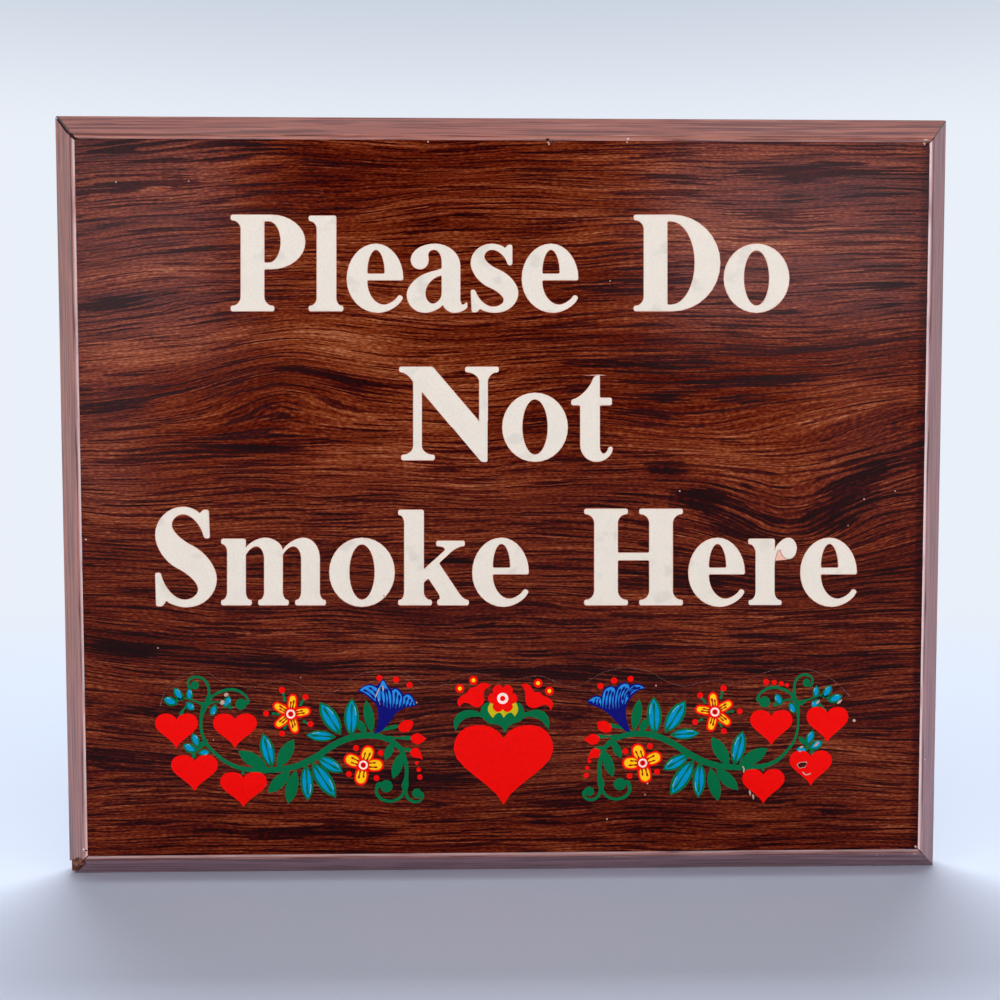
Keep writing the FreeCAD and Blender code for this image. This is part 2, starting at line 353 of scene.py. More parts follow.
class Finish:
    """The nodes of one material, or of the world."""

    def __init__(self, owner, kind="Material"):
        owner.use_nodes = True
        self.owner = owner
        self.kind = kind
        self.tree = owner.node_tree
        self.tree.nodes.clear()
        self.place = None

    @classmethod
    def material(cls, name):
        return cls(bpy.data.materials.new(name))

    def node(self, kind, settings=None, sockets=None, output=0):
        """Adds a node with its settings, then fills its sockets with numbers or links."""
        made = self.tree.nodes.new(kind)
        for name, setting in (settings or {}).items():
            if name == "stops":
                self.set_stops(made.color_ramp, setting)
            elif name == "mapping":
                made.texture_mapping.vector_type = "TEXTURE"
                made.texture_mapping.translation, made.texture_mapping.scale = setting
            else:
                setattr(made, name, setting)
        for name, given in (sockets or {}).items():
            if isinstance(given, Value):
                self.tree.links.new(given.socket, made.inputs[name])
            else:
                made.inputs[name].default_value = given
        return Value(self, made.outputs[output])

    def parts(self, vector):
        """The three numbers of a vector."""
        split = self.node("ShaderNodeSeparateXYZ", {}, {0: vector})
        return [Value(self, number) for number in split.socket.node.outputs]

    def set_stops(self, ramp, stops):
        while len(ramp.elements) < len(stops):
            ramp.elements.new(1.0)
        for element, (position, colour) in zip(ramp.elements, stops):
            element.position = position
            element.color = opaque(colour)

    def axes(self):
        """The piece's own coordinates, in millimetres."""
        if self.place is None:
            point = self.node("ShaderNodeTexCoord", output="Object")
            self.place = [number * (1 / MM) for number in self.parts(point)]
        return self.place

    def point(self, x, y, z=0.0):
        return self.node("ShaderNodeCombineXYZ", {}, {0: x, 1: y, 2: z})

    def noise(self, x, y, z=None, detail=2.0, roughness=0.5):
        """Cloudy noise about 0.5, with the coordinates already in units of its grain."""
        settings = {"noise_dimensions": "2D" if z is None else "3D"}
        where = self.point(x, y, 0.0 if z is None else z)
        sockets = {"Vector": where, "Scale": 1.0, "Detail": detail, "Roughness": roughness}
        return self.node("ShaderNodeTexNoise", settings, sockets)

    def spot(self, where, middle, size):
        """1 in the middle of an oval, falling to 0 at its edge."""
        settings = {"gradient_type": "SPHERICAL", "mapping": (middle, size)}
        return self.node("ShaderNodeTexGradient", settings, {0: where}, output=1)

    def ramp(self, value, stops):
        return self.node("ShaderNodeValToRGB", {"stops": stops}, {0: value})

    def mix(self, share, first, second):
        """The second colour over the first one."""
        settings = {"data_type": "RGBA", "clamp_factor": True}
        given = {0: share, 6: first, 7: second}
        sockets = {k: opaque(v) if isinstance(v, tuple) else v for k, v in given.items()}
        return self.node("ShaderNodeMix", settings, sockets, output=2)

    def bump(self, height, distance):
        sockets = {"Height": height, "Distance": distance, "Strength": 1.0}
        return self.node("ShaderNodeBump", {}, sockets)

    def surface(self, colour, roughness, normal=None, **constants):
        """Ends the material in one coated surface."""
        colour = opaque(colour) if isinstance(colour, tuple) else colour
        sockets = {"Base Color": colour, "Roughness": roughness}
        if normal:
            sockets["Normal"] = normal
        sockets.update({name.replace("_", " "): value for name, value in constants.items()})
        shader = self.node("ShaderNodeBsdfPrincipled", {}, sockets)
        return self.end(shader)

    def end(self, shader):
        output = self.tree.nodes.new(f"ShaderNodeOutput{self.kind}")
        self.tree.links.new(shader.socket, output.inputs["Surface"])
        return self.owner


# Finishes

class WoodSettings(bpy.types.PropertyGroup):
    side: colour_setting("Side", "Colour of the strips' flat outer sides", 124, 66, 54)
    pale_lines: colour_setting("Pale Lines", "Colour of the strips' pale lines", 190, 146, 128)
    dark_lines: colour_setting("Dark Lines", "Colour of the strips' dark lines", 84, 34, 36)
    pores: colour_setting("Pores", "Colour of the strips' pores", 56, 22, 30)
    # A painted highlight: the pale line along the strips' rims by the face.
    painted_highlight: colour_setting("Highlight", "Colour of the strips' worn rims", 222, 204, 202)
    seam: colour_setting("Seam", "Colour of the seams between the strips", 40, 16, 18)
    dark_nick: colour_setting("Dark Nick", "Colour of the dark nicks", 40, 14, 12)
    pale_nick: colour_setting("Pale Nick", "Colour of the pale nicks", 226, 206, 196)
    face_roughness: share_setting(
        "Face Roughness", "How dull the face's coat is between its pores", 0.13
    )
    strip_roughness: share_setting("Strip Roughness", "How dull the strips' coat is", 0.3)


# Where the grain bends: a place in millimetres on the face, how far the bend reaches sideways and
# up, and how far it lifts the grain.
BENDS = (
    (-92, 48, 34, 40, -5.5),
    (-96, -36, 38, 26, 5.5),
    (-44, 24, 20, 11, 4.5),
    (57, -6, 24, 17, -7.0),
    (92, 22, 46, 26, 7.0),
)
# Dark streaks along the grain: their middle and half their length and thickness, in pixels of the
# picture, and how dark they are.
STREAKS = (
    (130, 188, 80, 6, 1.2),
    (112, 154, 45, 5, 1.0),
    (232, 145, 48, 7, 1.2),
    (170, 253, 110, 5, 0.9),
    (118, 302, 64, 9, 1.3),
    (118, 405, 60, 9, 1.4),
    (320, 374, 140, 7, 1.0),
    (240, 448, 120, 18, 0.7),
    (640, 367, 110, 6, 1.1),
    (810, 347, 130, 6, 1.1),
    (750, 383, 100, 6, 1.1),
    (660, 402, 36, 10, 1.0),
    (666, 470, 28, 14, 1.1),
    (696, 500, 38, 16, 1.2),
    (750, 534, 62, 13, 1.1),
    (872, 466, 66, 15, 1.2),
    (836, 512, 50, 16, 1.0),
    (130, 650, 66, 10, 1.3),
    (290, 665, 130, 8, 1.1),
    (540, 673, 160, 9, 1.0),
    (106, 760, 50, 9, 1.2),
    (420, 778, 100, 14, 0.9),
    (850, 617, 90, 9, 0.8),
    (820, 173, 120, 12, 1.1),
    (600, 290, 80, 12, 0.7),
    (890, 288, 44, 7, 0.9),
    (700, 580, 130, 26, 0.6),
    (300, 832, 130, 9, 0.9),
)
# Places where the wood is lighter, in the same terms.
LIGHTER_PATCHES = (
    (440, 330, 640, 300, 0.5),
    (126, 362, 90, 34, 0.9),
    (330, 345, 180, 28, 0.5),
    (370, 440, 130, 32, 0.6),
    (750, 440, 200, 44, 0.9),
    (150, 276, 100, 18, 0.6),
    (720, 240, 120, 24, 0.4),
)

NARROW_EDGE = 0.3  # the outer share of a small mark in which it fades
# Each layer of the face's grain: how long and how thick its marks are in millimetres, and how much
# finer detail they have and how strong that is. The layers are broad, bands, threads, specks and
# pores.
FACE_GRAIN = (
    (55, 9, 1, 0.5),
    (40, 1.8, 2, 0.6),
    (14, 0.3, 2, 0.7),
    (1, 0.25, 1, 0.5),
    (20, 0.55, 2, 0.65),
)
# The face's colours, from its darkest streaks to its palest wood.
FACE_TONES = (
    (0.02, written(20, 0, 1)),
    (0.2, written(44, 1, 1)),
    (0.38, written(70, 12, 3)),
    (0.56, written(96, 31, 10)),
    (0.76, written(128, 60, 30)),
    (0.98, written(164, 102, 68)),
)


def lift(x, z):
    """How far the grain is lifted at a place on the face, in millimetres."""
    total = 0.0
    for bend_x, bend_z, reach_x, reach_z, height in BENDS:
        across, up = (x - bend_x) / reach_x, (z - bend_z) / reach_z
        fade = 1 + across * across + up * up
        total = total + height / (fade * fade)
    return total


def marks(finish, where, places, bent=True):
    """How strongly marks show: soft ones in grain that bends, or small ones with narrow edges."""
    total = 0.0
    for pixel_x, pixel_y, half_length, half_thickness, strength in places:
        x, z = (axis / MM for axis in on_face(pixel_x, pixel_y))
        middle = (x, z - lift(x, z) if bent else z, 0)
        shown = finish.spot(where, middle, (half_length * PIXEL, half_thickness * PIXEL, 1))
        total = (shown if bent else shown.rise(0, NARROW_EDGE)) * strength + total
    return total


def woodgrain_face(settings):
    """Glossy reddish brown woodgrain, with dark pores and streaks that run from side to side."""
    finish = Finish.material("rosewood_print")
    x, _, z = finish.axes()
    level = z - lift(x, z)
    wander = finish.noise(x / 50, z / 16, detail=1) - 0.5
    waver = finish.noise(x / 12, z / 3, detail=1) - 0.5
    grain = level + wander * 5.0 + waver * 0.45
    marked = finish.point(x, level + wander * 2.0 + waver * 1.4)

    broad, bands, threads, specks, pores = (
        finish.noise(x / length, grain / thickness, detail=detail, roughness=roughness) - 0.5
        for length, thickness, detail, roughness in FACE_GRAIN
    )

    streaks = marks(finish, marked, STREAKS)
    lighter = marks(finish, marked, LIGHTER_PATCHES)
    dark = (pores + streaks * 0.26 + bands * 0.25 - lighter * 0.05).rise(0.03, 0.065)
    # Painted shade: a narrow band along the face's right edge, beside the strip's lip, is darkened.
    rim = x.rise(FACE_HALF_WIDTH / MM - 2, FACE_HALF_WIDTH / MM - 0.8)
    tone = 0.5 + broad * 0.4 + bands * 0.5 + threads * 0.8 + specks * 0.55 + lighter * 0.2
    tone = tone - dark * 0.36 - streaks * 0.1 - rim * 0.16
    colour = finish.ramp(tone, FACE_TONES)
    return finish.surface(colour, dark * 0.08 + settings.face_roughness, Specular_IOR_Level=0.08)


# In millimetres: how much further out a seam is sideways, how far from the back the flat sides end
# and the lips start, and where along the top left diagonal the open mitre starts and is widest.
MITRE = (PLAQUE_HALF_WIDTH - PLAQUE_HALF_HEIGHT) / MM
SIDE_DEPTH = 4.0
LIP_DEPTH = 12.05
OPEN_MITRE = (130, 150)
# Small dark and pale nicks in the lips, in pixels of the picture, in the way of the streaks.
DARK_NICKS = {
    "left": ((86.2, 850.5, 1.6, 1.0, 1), (84.6, 853, 1.0, 0.8, 0.8)),
    "right": ((930.5, 861, 1.7, 1.5, 1), (927.4, 758.6, 0.8, 1.4, 0.8)),
    "bottom": ((929, 861.5, 1.6, 1.2, 1), (612, 857, 1.6, 0.7, 0.6)),
    "top": ((547.5, 139.6, 2.2, 1.4, 1), (76, 138.8, 2.4, 1.4, 0.9)),
}
PALE_NICKS = {
    "left": ((83.4, 849.6, 1.2, 1.4, 1), (76.2, 143.6, 1.0, 1.2, 1)),
    "right": ((926.8, 145, 0.8, 2.4, 0.8), (926.6, 760.6, 0.9, 1.0, 1)),
    "bottom": ((878.6, 857, 1.3, 0.8, 1), (884, 856.4, 0.9, 0.7, 0.8), (916, 855, 2.2, 1.0, 1)),
    "top": ((925.6, 139.8, 2.2, 0.7, 0.8), (628, 138.9, 1.6, 0.8, 0.9)),
}
# Each edge strip's colours on its slope and on its lip next to the face, and how strongly the
# painted highlight along its rim by the face shows. Besides the strip's own colour these tones hold
# painted light: each side is lighter or darker as the lamps fall on it, the slopes carry a painted
# grey-mauve reflection, and the lips are lightened as a painted highlight.
EDGE_TONES_WITH_PAINTED_LIGHT = {
    "top": ((144, 85, 72), (160, 104, 90), 0.1),
    "right": ((142, 80, 80), (160, 118, 118), 0.85),
    "bottom": ((142, 106, 114), (156, 112, 108), 0.3),
    "left": ((156, 90, 74), (164, 112, 106), 0.6),
}


def seams(finish, x, z):
    """Where the strips meet in mitres. The one at the top left stands open."""
    from_seam = (x.size() - z.size() - MITRE).size()
    top_left = (z - x).rise(*OPEN_MITRE)
    opened = top_left * finish.noise(x / 1.1, z / 1.1) * 0.5 + 0.08
    return (from_seam - opened).rise(0.15, 0)


def woodgrain_edge(settings, side):
    """Paler satin woodgrain whose lines run along the strip. Its slope and lip carry painted light
    and shade that differ from side to side, and a painted highlight runs pale along its rim by the
    face.
    """
    finish = Finish.material(f"pale_woodgrain_{side}")
    x, y, z = finish.axes()
    level = side in ("top", "bottom")
    along, out = (x, z.size()) if level else (z, x.size())
    face_edge = FACE_HALF_HEIGHT / MM if level else FACE_HALF_WIDTH / MM
    depth = y * -1
    slant = out + y * 0.9
    bands = finish.noise(along / 40, slant / 2.4, detail=1) - 0.5
    threads = finish.noise(along / 9, slant / 0.6, detail=2, roughness=0.7) - 0.5
    pores = finish.noise(along / 30, slant / 0.9, detail=2, roughness=0.6) + bands * 0.3
    # Painted highlight: a pale line, broken into patches, along the rim by the face.
    painted_highlight = (out - face_edge).rise(0.6, 0.2) * finish.noise(along / 9, out / 0.8).rise(0.1, 0.55)
    where = finish.point(x, z)
    slope, lip, wear = EDGE_TONES_WITH_PAINTED_LIGHT[side]

    colour = tuple(settings.side)
    for share, over in (
        # Painted light and shade: each side's slope and lip tones, lighter or darker as the lamps
        # fall on them.
        (depth.rise(SIDE_DEPTH - 0.4, SIDE_DEPTH + 0.4), written(*slope)),
        (depth.rise(LIP_DEPTH - 0.45, LIP_DEPTH + 0.45), written(*lip)),
        ((bands + threads).rise(0, 0.8) * 0.8, tuple(settings.pale_lines)),
        ((bands + threads).rise(0, -0.7) * 0.8, tuple(settings.dark_lines)),
        (pores.rise(0.5, 0.56) * 0.65, tuple(settings.pores)),
        # The painted highlight along the rim; its strength is the side's third tone number.
        (painted_highlight * wear, tuple(settings.painted_highlight)),
        (seams(finish, x, z), tuple(settings.seam)),
        (marks(finish, where, DARK_NICKS[side], bent=False), tuple(settings.dark_nick)),
        (marks(finish, where, PALE_NICKS[side], bent=False), tuple(settings.pale_nick)),
    ):
        colour = finish.mix(share, colour, over)
    normal = finish.bump(threads, 0.01 * MM)
    return finish.surface(colour, settings.strip_roughness, normal, Specular_IOR_Level=0.12)


def bare_board():
    """Reddish brown fibreboard, coarse and blotchy where it is broken open."""
    finish = Finish.material("reddish_fibreboard")
    x, y, z = finish.axes()
    clumps = finish.noise(x / 0.9, y / 0.9, z / 0.9, detail=2, roughness=0.7) - 0.5
    fibres = finish.noise(x / 0.3, y / 0.3, z / 0.3, detail=1) - 0.5
    cloudy = finish.noise(x / 25, y / 25, z / 25, detail=2) - 0.5
    depth = y * -1
    broken = depth.rise(0.5, 2)  # the back itself is smooth
    colour = finish.ramp(
        clumps * (broken * 0.88 + 0.12) + fibres * 0.16 + cloudy * 0.12 + 0.53 - broken * 0.03,
        (
            (0.38, written(34, 10, 8)),
            (0.46, written(84, 36, 24)),
            (0.54, written(120, 66, 44)),
            (0.66, written(158, 104, 76)),
        ),
    )
    normal = finish.bump(clumps * broken + fibres * 0.1, 0.3 * MM)
    return finish.surface(colour, 0.85, normal, Specular_IOR_Level=0.2)


def letter_finish(colour):
    """Cream print, a little blotchy and grey in places."""
    finish = Finish.material("cream_print")
    x, _, z = finish.axes()
    blotches = finish.noise(x / 4, z / 4, detail=2)
    speckle = finish.noise(x / 0.5, z / 0.35, detail=1)
    smudge = finish.noise(x / 7 + 40, z / 5, detail=2, roughness=0.6)
    shade = finish.mix(blotches.rise(0.3, 0.7) * 0.5, colour, written(216, 211, 195))
    shade = finish.mix(speckle.rise(0.45, 0.75) * 0.35, shade, written(203, 199, 186))
    shade = finish.mix(smudge.rise(0.6, 0.75) * 0.3, shade, written(180, 178, 166))
    return finish.surface(shade, 0.3, Specular_IOR_Level=0.1)


def ink_finish(name, colour):
    """A printed colour, made once and shared by all its shapes. It is slightly uneven."""
    name = f"ink_{name}"
    if name in bpy.data.materials:
        return bpy.data.materials[name]
    finish = Finish.material(name)
    x, _, z = finish.axes()
    uneven = finish.noise(x / 1.2, z / 0.9, detail=2, roughness=0.6)
    shade = finish.mix(uneven.rise(0.5, 0.8) * 0.25, colour, tuple(part * 0.6 for part in colour))
    return finish.surface(shade, 0.2, Specular_IOR_Level=0.05)


def put_finish(obj, material):
    """Gives a carried-over solid one material all over."""
    obj.data.materials.clear()
    obj.data.materials.append(material)


class PLAQUE_OT_finishes(bpy.types.Operator):
    """Give the board, the face sheet and the four edge strips their finishes"""

    bl_idname = "plaque.finishes"
    bl_label = "Finishes"

    def execute(self, context):
        settings = context.scene.plaque_wood
        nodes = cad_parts
        put_finish(nodes["face_sheet"], woodgrain_face(settings))
        put_finish(nodes["board"], bare_board())
        for side in STRIP_SIDES:
            put_finish(nodes[f"edge_strip_{side}"], woodgrain_edge(settings, side))
        return {"FINISHED"}


# Lettering

# Letters are drawn on a grid whose unit is one pixel of the picture, up from the baseline: capitals
# are 96 tall, small letters 66. Each has its width and its outlines, holes last.
LETTERS = {
    "D": (88, [
        [
            (2, 96), (40, 96), (88, 96, 88, 48), (88, 0, 40, 0), (2, 0), (2, 5), (12, 5, 12, 14),
            (12, 82), (12, 91, 2, 91),
        ],
        [(35, 90), (39, 90), (63, 90, 63, 48), (63, 6, 39, 6), (35, 6)],
    ]),
    "H": (102, [
        [
            (2, 96), (45, 96), (45, 91), (35, 91, 35, 82), (35, 52), (67, 52), (67, 82),
            (67, 91, 57, 91), (57, 96), (100, 96), (100, 91), (90, 91, 90, 82), (90, 14),
            (90, 5, 100, 5), (100, 0), (57, 0), (57, 5), (67, 5, 67, 14), (67, 45), (35, 45),
            (35, 14), (35, 5, 45, 5), (45, 0), (2, 0), (2, 5), (12, 5, 12, 14), (12, 82),
            (12, 91, 2, 91),
        ],
    ]),
    "N": (99, [
        [
            (0, 93), (33, 93), (80, 38), (80, 78), (80, 88, 66, 88), (66, 93), (99, 93), (99, 88),
            (88, 88, 88, 78), (88, -2), (82, -2), (22, 69), (22, 14), (22, 5, 35, 5), (35, 0),
            (2, 0), (2, 5), (14, 5, 14, 14), (14, 78), (9, 88, 0, 88),
        ],
    ]),
    "P": (76, [
        [
            (2, 96), (42, 96), (76, 96, 76, 69), (76, 42, 42, 42), (35, 42), (35, 14),
            (35, 5, 45, 5), (45, 0), (2, 0), (2, 5), (12, 5, 12, 14), (12, 82), (12, 91, 2, 91),
        ],
        [(35, 90), (40, 90), (52, 90, 52, 69), (52, 48, 40, 48), (35, 48)],
    ]),
    "S": (62, [
        [
            (53, 95), (54, 67), (49, 67), (43, 91, 28, 91), (16, 91, 16, 80), (16, 69, 37, 59),
            (61, 47, 61, 26), (61, -2, 31, -2), (18, -2, 11, 5), (7, -1), (1, -1), (0, 32), (5, 32),
            (11, 5, 29, 5), (43, 5, 43, 16), (43, 27, 22, 37), (0, 48, 0, 70), (0, 98, 28, 98),
            (38, 98, 44, 91), (48, 95),
        ],
    ]),
    "a": (60, [
        [
            (53, 12), (53, 6, 57, 6), (60, 9), (60, 4), (57, -1.5, 47, -1.5), (39, -1.5, 36, 7),
            (29, -1.5, 18, -1.5), (0, -1.5, 0, 16), (0, 33, 24, 39), (35, 42), (35, 49),
            (35, 61.5, 27, 61.5), (20, 61.5, 21, 55), (24, 42, 13, 42), (4, 42, 4, 51),
            (4, 67, 28, 67), (53, 67, 53, 45),
        ],
        [(35, 36), (18, 32, 18, 18), (18, 7, 26, 7), (35, 8, 35, 18)],
    ]),
    "e": (56, [
        [
            (56, 31), (56, 67, 29, 67), (0, 67, 0, 32), (0, -1.5, 31, -1.5), (49, -1.5, 56, 14),
            (52, 16), (46, 6, 37, 6), (20, 6, 20, 31),
        ],
        [(20, 37), (20, 61.5, 29, 61.5), (38, 61.5, 38, 37)],
    ]),
    "k": (70, [
        [
            (0, 95), (25, 95), (25, 35), (46, 54), (50, 59, 38, 59), (38, 64), (66, 64), (66, 59),
            (57, 59, 50, 51), (40, 42), (60, 12), (64, 5, 70, 5), (70, 0), (39, 0), (39, 5),
            (44, 6, 40, 12), (30, 27), (25, 23), (25, 13), (25, 5, 33, 5), (33, 0), (0, 0), (0, 5),
            (6, 5, 6, 13), (6, 82), (6, 90, 0, 90),
        ],
    ]),
    "l": (34, [
        [
            (0, 95), (27, 95), (27, 13), (27, 5, 34, 5), (34, 0), (0, 0), (0, 5), (8, 5, 8, 13),
            (8, 82), (8, 90, 0, 90),
        ],
    ]),
    "m": (104, [
        [
            (0, 66), (24, 66), (24, 56), (31, 67, 44, 67), (59, 67, 61, 54), (69, 67, 82, 67),
            (98, 67, 98, 47), (98, 13), (98, 5, 104, 5), (104, 0), (74, 0), (74, 5), (80, 5, 80, 13),
            (80, 46), (80, 59, 72, 59), (65, 59, 61, 50), (61, 13), (61, 5, 67, 5), (67, 0), (37, 0),
            (37, 5), (43, 5, 43, 13), (43, 46), (43, 59, 35, 59), (28, 59, 24, 50), (24, 13),
            (24, 5, 30, 5), (30, 0), (0, 0), (0, 5), (6, 5, 6, 13), (6, 53), (6, 61, 0, 61),
        ],
    ]),
    "o": (65, [oval(0, -1.5, 65, 67), oval(19.5, 5, 45.5, 61)]),
    "r": (48, [
        [
            (0, 66), (26, 66), (26, 54), (31, 67, 40, 67), (48, 67, 48, 56), (48, 46, 40, 46),
            (33, 46, 32, 56), (26, 54, 26, 38), (26, 13), (26, 5, 33, 5), (33, 0), (0, 0), (0, 5),
            (7, 5, 7, 13), (7, 53), (7, 61, 0, 61),
        ],
    ]),
    "s": (47, [
        [
            (41, 66), (41, 46), (37, 46), (33, 61.5, 21, 61.5), (13, 61.5, 13, 54), (13, 47, 28, 41),
            (47, 33, 47, 18), (47, -1.5, 24, -1.5), (14, -1.5, 9, 3), (6, -1), (1, -1), (0, 21),
            (4, 21), (9, 4, 22, 4), (33, 4, 33, 11), (33, 18, 18, 24), (0, 32, 0, 48),
            (0, 67, 21, 67), (30, 67, 34, 62), (37, 66),
        ],
    ]),
    "t": (41, [
        [
            (0, 60), (16, 64, 22, 82), (26, 85), (28, 85), (28, 62), (40, 62), (40, 55), (28, 55),
            (28, 14), (28, 6, 32, 6), (36, 6, 37, 13), (41, 13), (40, -1.5, 25, -1.5),
            (9, -1.5, 9, 15), (9, 55), (0, 55),
        ],
    ]),
}

# Each row has its words, the middle it is centred on and its baseline.
ROWS = (
    ("Please Do", 509, 311),
    ("Not", 506, 460),
    ("Smoke Here", 506, 605),
)


class LetterSettings(bpy.types.PropertyGroup):
    colour: colour_setting("Colour", "Ink of the letters", 222, 214, 198)
    # The rims are a painted highlight: a pale pinkish line round the letters' edges.
    rims: colour_setting("Rims", "Ink of the thin rims round the letters", 226, 176, 156)
    rim_width: length_setting("Rim Width", "How far the rims show beyond the letters", 0.09 * MM)
    height: length_setting(
        "Height", "How far the letters stand proud of the face sheet", 0.07 * MM
    )
    rounding: number_setting(
        "Rounding", "How much of each corner is rounded off, in units of the drawing", 1.8
    )
    gap: number_setting("Gap", "Space between letters, in units of the drawing", 4.0)
    word_gap: number_setting("Word Gap", "Space between words, in units of the drawing", 54.0)


class PLAQUE_OT_lettering(bpy.types.Operator):
    """Print the three rows of cream letters"""

    bl_idname = "plaque.lettering"
    bl_label = "Lettering"

    def execute(self, context):
        settings = context.scene.plaque_letters
        material = letter_finish(tuple(settings.colour))
        # The rims printed under the letters are a painted highlight round their edges.
        rim_highlight_ink = ink_finish("letter_rim_highlights", tuple(settings.rims))
        rim = settings.height / 3
        for number, (words, middle, baseline) in enumerate(ROWS, start=1):
            shapes = self.set_row(settings, words, middle, baseline)
            print_on_face(
                f"lettering_rim_highlights_{number}", shapes, settings.height / 2, rim_highlight_ink, steps=8,
                spread=settings.rim_width,
            )
            print_on_face(
                f"lettering_row_{number}", shapes, settings.height, material, rim=rim, steps=8
            )
        return {"FINISHED"}

    def set_row(self, settings, words, middle, baseline):
        """The shapes of one row, each letter moved to its place in the picture."""
        steps = [
            settings.word_gap - settings.gap if mark == " " else LETTERS[mark][0] + settings.gap
            for mark in words
        ]
        x = middle - (sum(steps) - settings.gap) / 2
        shapes = []
        for mark, step in zip(words, steps):
            if mark != " ":
                outlines = [drawn(entries, settings.rounding) for entries in LETTERS[mark][1]]
                shapes.append([self.moved(knots, x, baseline) for knots in outlines])
            x += step
        return shapes

    def moved(self, knots, x, baseline):
        return [[Vector((x + point.x, baseline - point.y)) for point in knot] for knot in knots]


# Printed ornament

# All places and widths are in pixels of the picture. The left garland is drawn, and the right one
# is its mirror image, turned a little. It has its own hearts and tulip, and some pieces shifted.
MIRROR_SUM = 1001.4  # the places of a point and its mirror image across the picture, added up
MIRROR_LEAN = 0.006
MIRROR_DROP = 2.4
MIRROR_SLOPE = 0.0067
MIRROR_SQUEEZE = 0.991
BUDS_SHIFT = (4.5, 2.0)
BULGE_START = 775  # where the right vine starts to bulge less


def right_side(x, y):
    """The place in the right garland that mirrors one in the left garland."""
    across = MIRROR_SUM - x + MIRROR_LEAN * y
    return across, MIRROR_DROP + MIRROR_SLOPE * x + MIRROR_SQUEEZE * y


def right_vine(x, y):
    """The right vine bulges less than the left one, least of all below its scrolls."""
    x, y = right_side(x, y)
    share = 0.12 + 0.1 * min(1, max(0, (y - 690) / 25))
    return x - max(0, x - BULGE_START) * share, y


def right_buds(x, y):
    """The right garland's buds grow a little further out and lower."""
    x, y = right_side(x, y)
    return x + BUDS_SHIFT[0], y + BUDS_SHIFT[1]


class Inks:
    """Prints shapes in the ornament's colours."""

    def __init__(self, settings):
        self.settings = settings

    def layer(self, name, colour, number, shapes, place=on_face):
        """One colour of one kind of shape. Higher numbers cover lower ones."""
        material = ink_finish(colour, tuple(getattr(self.settings, colour)))
        return print_on_face(name, shapes, number * self.settings.step, material, place)

    def both_sides(self, name, colour, number, shapes, right=right_side):
        """The shapes as they are drawn, for the left garland, and their copy in the right one."""
        self.layer(f"{name}_left", colour, number, shapes)
        self.layer(f"{name}_right", colour, number, shapes, lambda x, y: on_face(*right(x, y)))


def ring(x, y, outer, inner):
    """A disc with a hole."""
    return [circle(x, y, outer), circle(x, y, inner)]


CENTRE_HEART = (453.7, 553.3, 725.0, 804.6)
LEFT_HEARTS = (
    (155, 198, 713.5, 748),
    (213, 257, 713.5, 748),
    (171, 218, 755, 791),
    (220, 267, 772, 807),
)
RIGHT_HEARTS = (
    (750, 792.6, 710, 745.4),
    (806.4, 848.4, 706.8, 742.2),
    (789.4, 832, 750.4, 785.6),
    (742, 784.6, 769, 803.4),
)
VINE = (
    (206, 702, 2.6), (201, 721, 3.0), (204.5, 740, 3.2), (216, 754, 3.4), (232, 765, 4.0),
    (252, 770, 4.8), (271, 770, 5.6), (293, 767, 6.2), (314, 758, 6.6), (334, 745, 6.4),
    (350, 738, 6.4), (371, 735.5, 6.0), (387, 739, 5.2), (399, 747, 4.6), (405.5, 762, 4.2),
    (406.5, 776, 3.8), (404, 789, 3.4),
)
SCROLLS = (
    (
        (206.5, 705, 2.6), (209, 692, 2.8), (205, 680.6, 2.8), (196.6, 677, 2.6), (189, 680, 2.6),
        (188.2, 685, 2.4), (191.6, 688.6, 3.0),
    ),
    (
        (207, 703, 2.6), (212, 696.6, 2.8), (221, 691.6, 3.0), (232, 689.6, 3.0),
        (241.5, 692.6, 2.8), (247.2, 698.6, 2.6), (247, 704, 3.0),
    ),
    (
        (405.5, 782, 3.6), (403.6, 793, 3.4), (396, 800, 3.0), (385.4, 800.6, 3.2),
        (378.2, 796, 3.4), (376.4, 789.4, 3.4), (380.4, 782.8, 3.4),
    ),
    (
        (405.5, 782, 3.6), (406, 794, 3.4), (411, 800.6, 3.0), (417.6, 801.6, 2.8),
        (422, 798, 2.8), (421.6, 792.6, 3.0),
    ),
)
SCROLL_ENDS = ((194.8, 685.2, 4.2), (241, 704.2, 5.6), (386.4, 786.2, 6.2), (416.9, 793.4, 4.8))
TWIGS = (
    ((207, 706), (197, 702), (183, 698), (176, 701)),
    ((190, 704), (184, 709), (180, 716)),
    ((203, 707), (214, 702), (224, 704), (232, 708)),
    ((207, 740), (196, 750), (193, 758)),
    ((206, 742), (200, 748), (194, 752)),
    ((243, 768), (243, 774)),
    ((371, 736), (380, 731), (398, 726)),
    ((386, 738), (397, 738), (411, 738)),
    ((392, 744), (402, 748), (412, 751)),
    ((285, 701), (283, 692)),
    ((300, 705), (305, 698)),
    ((272, 713.5), (280, 714)),
    ((303, 721), (309, 724)),
    ((284, 729), (287, 724)),
    ((362.7, 735), (362, 728)),
)
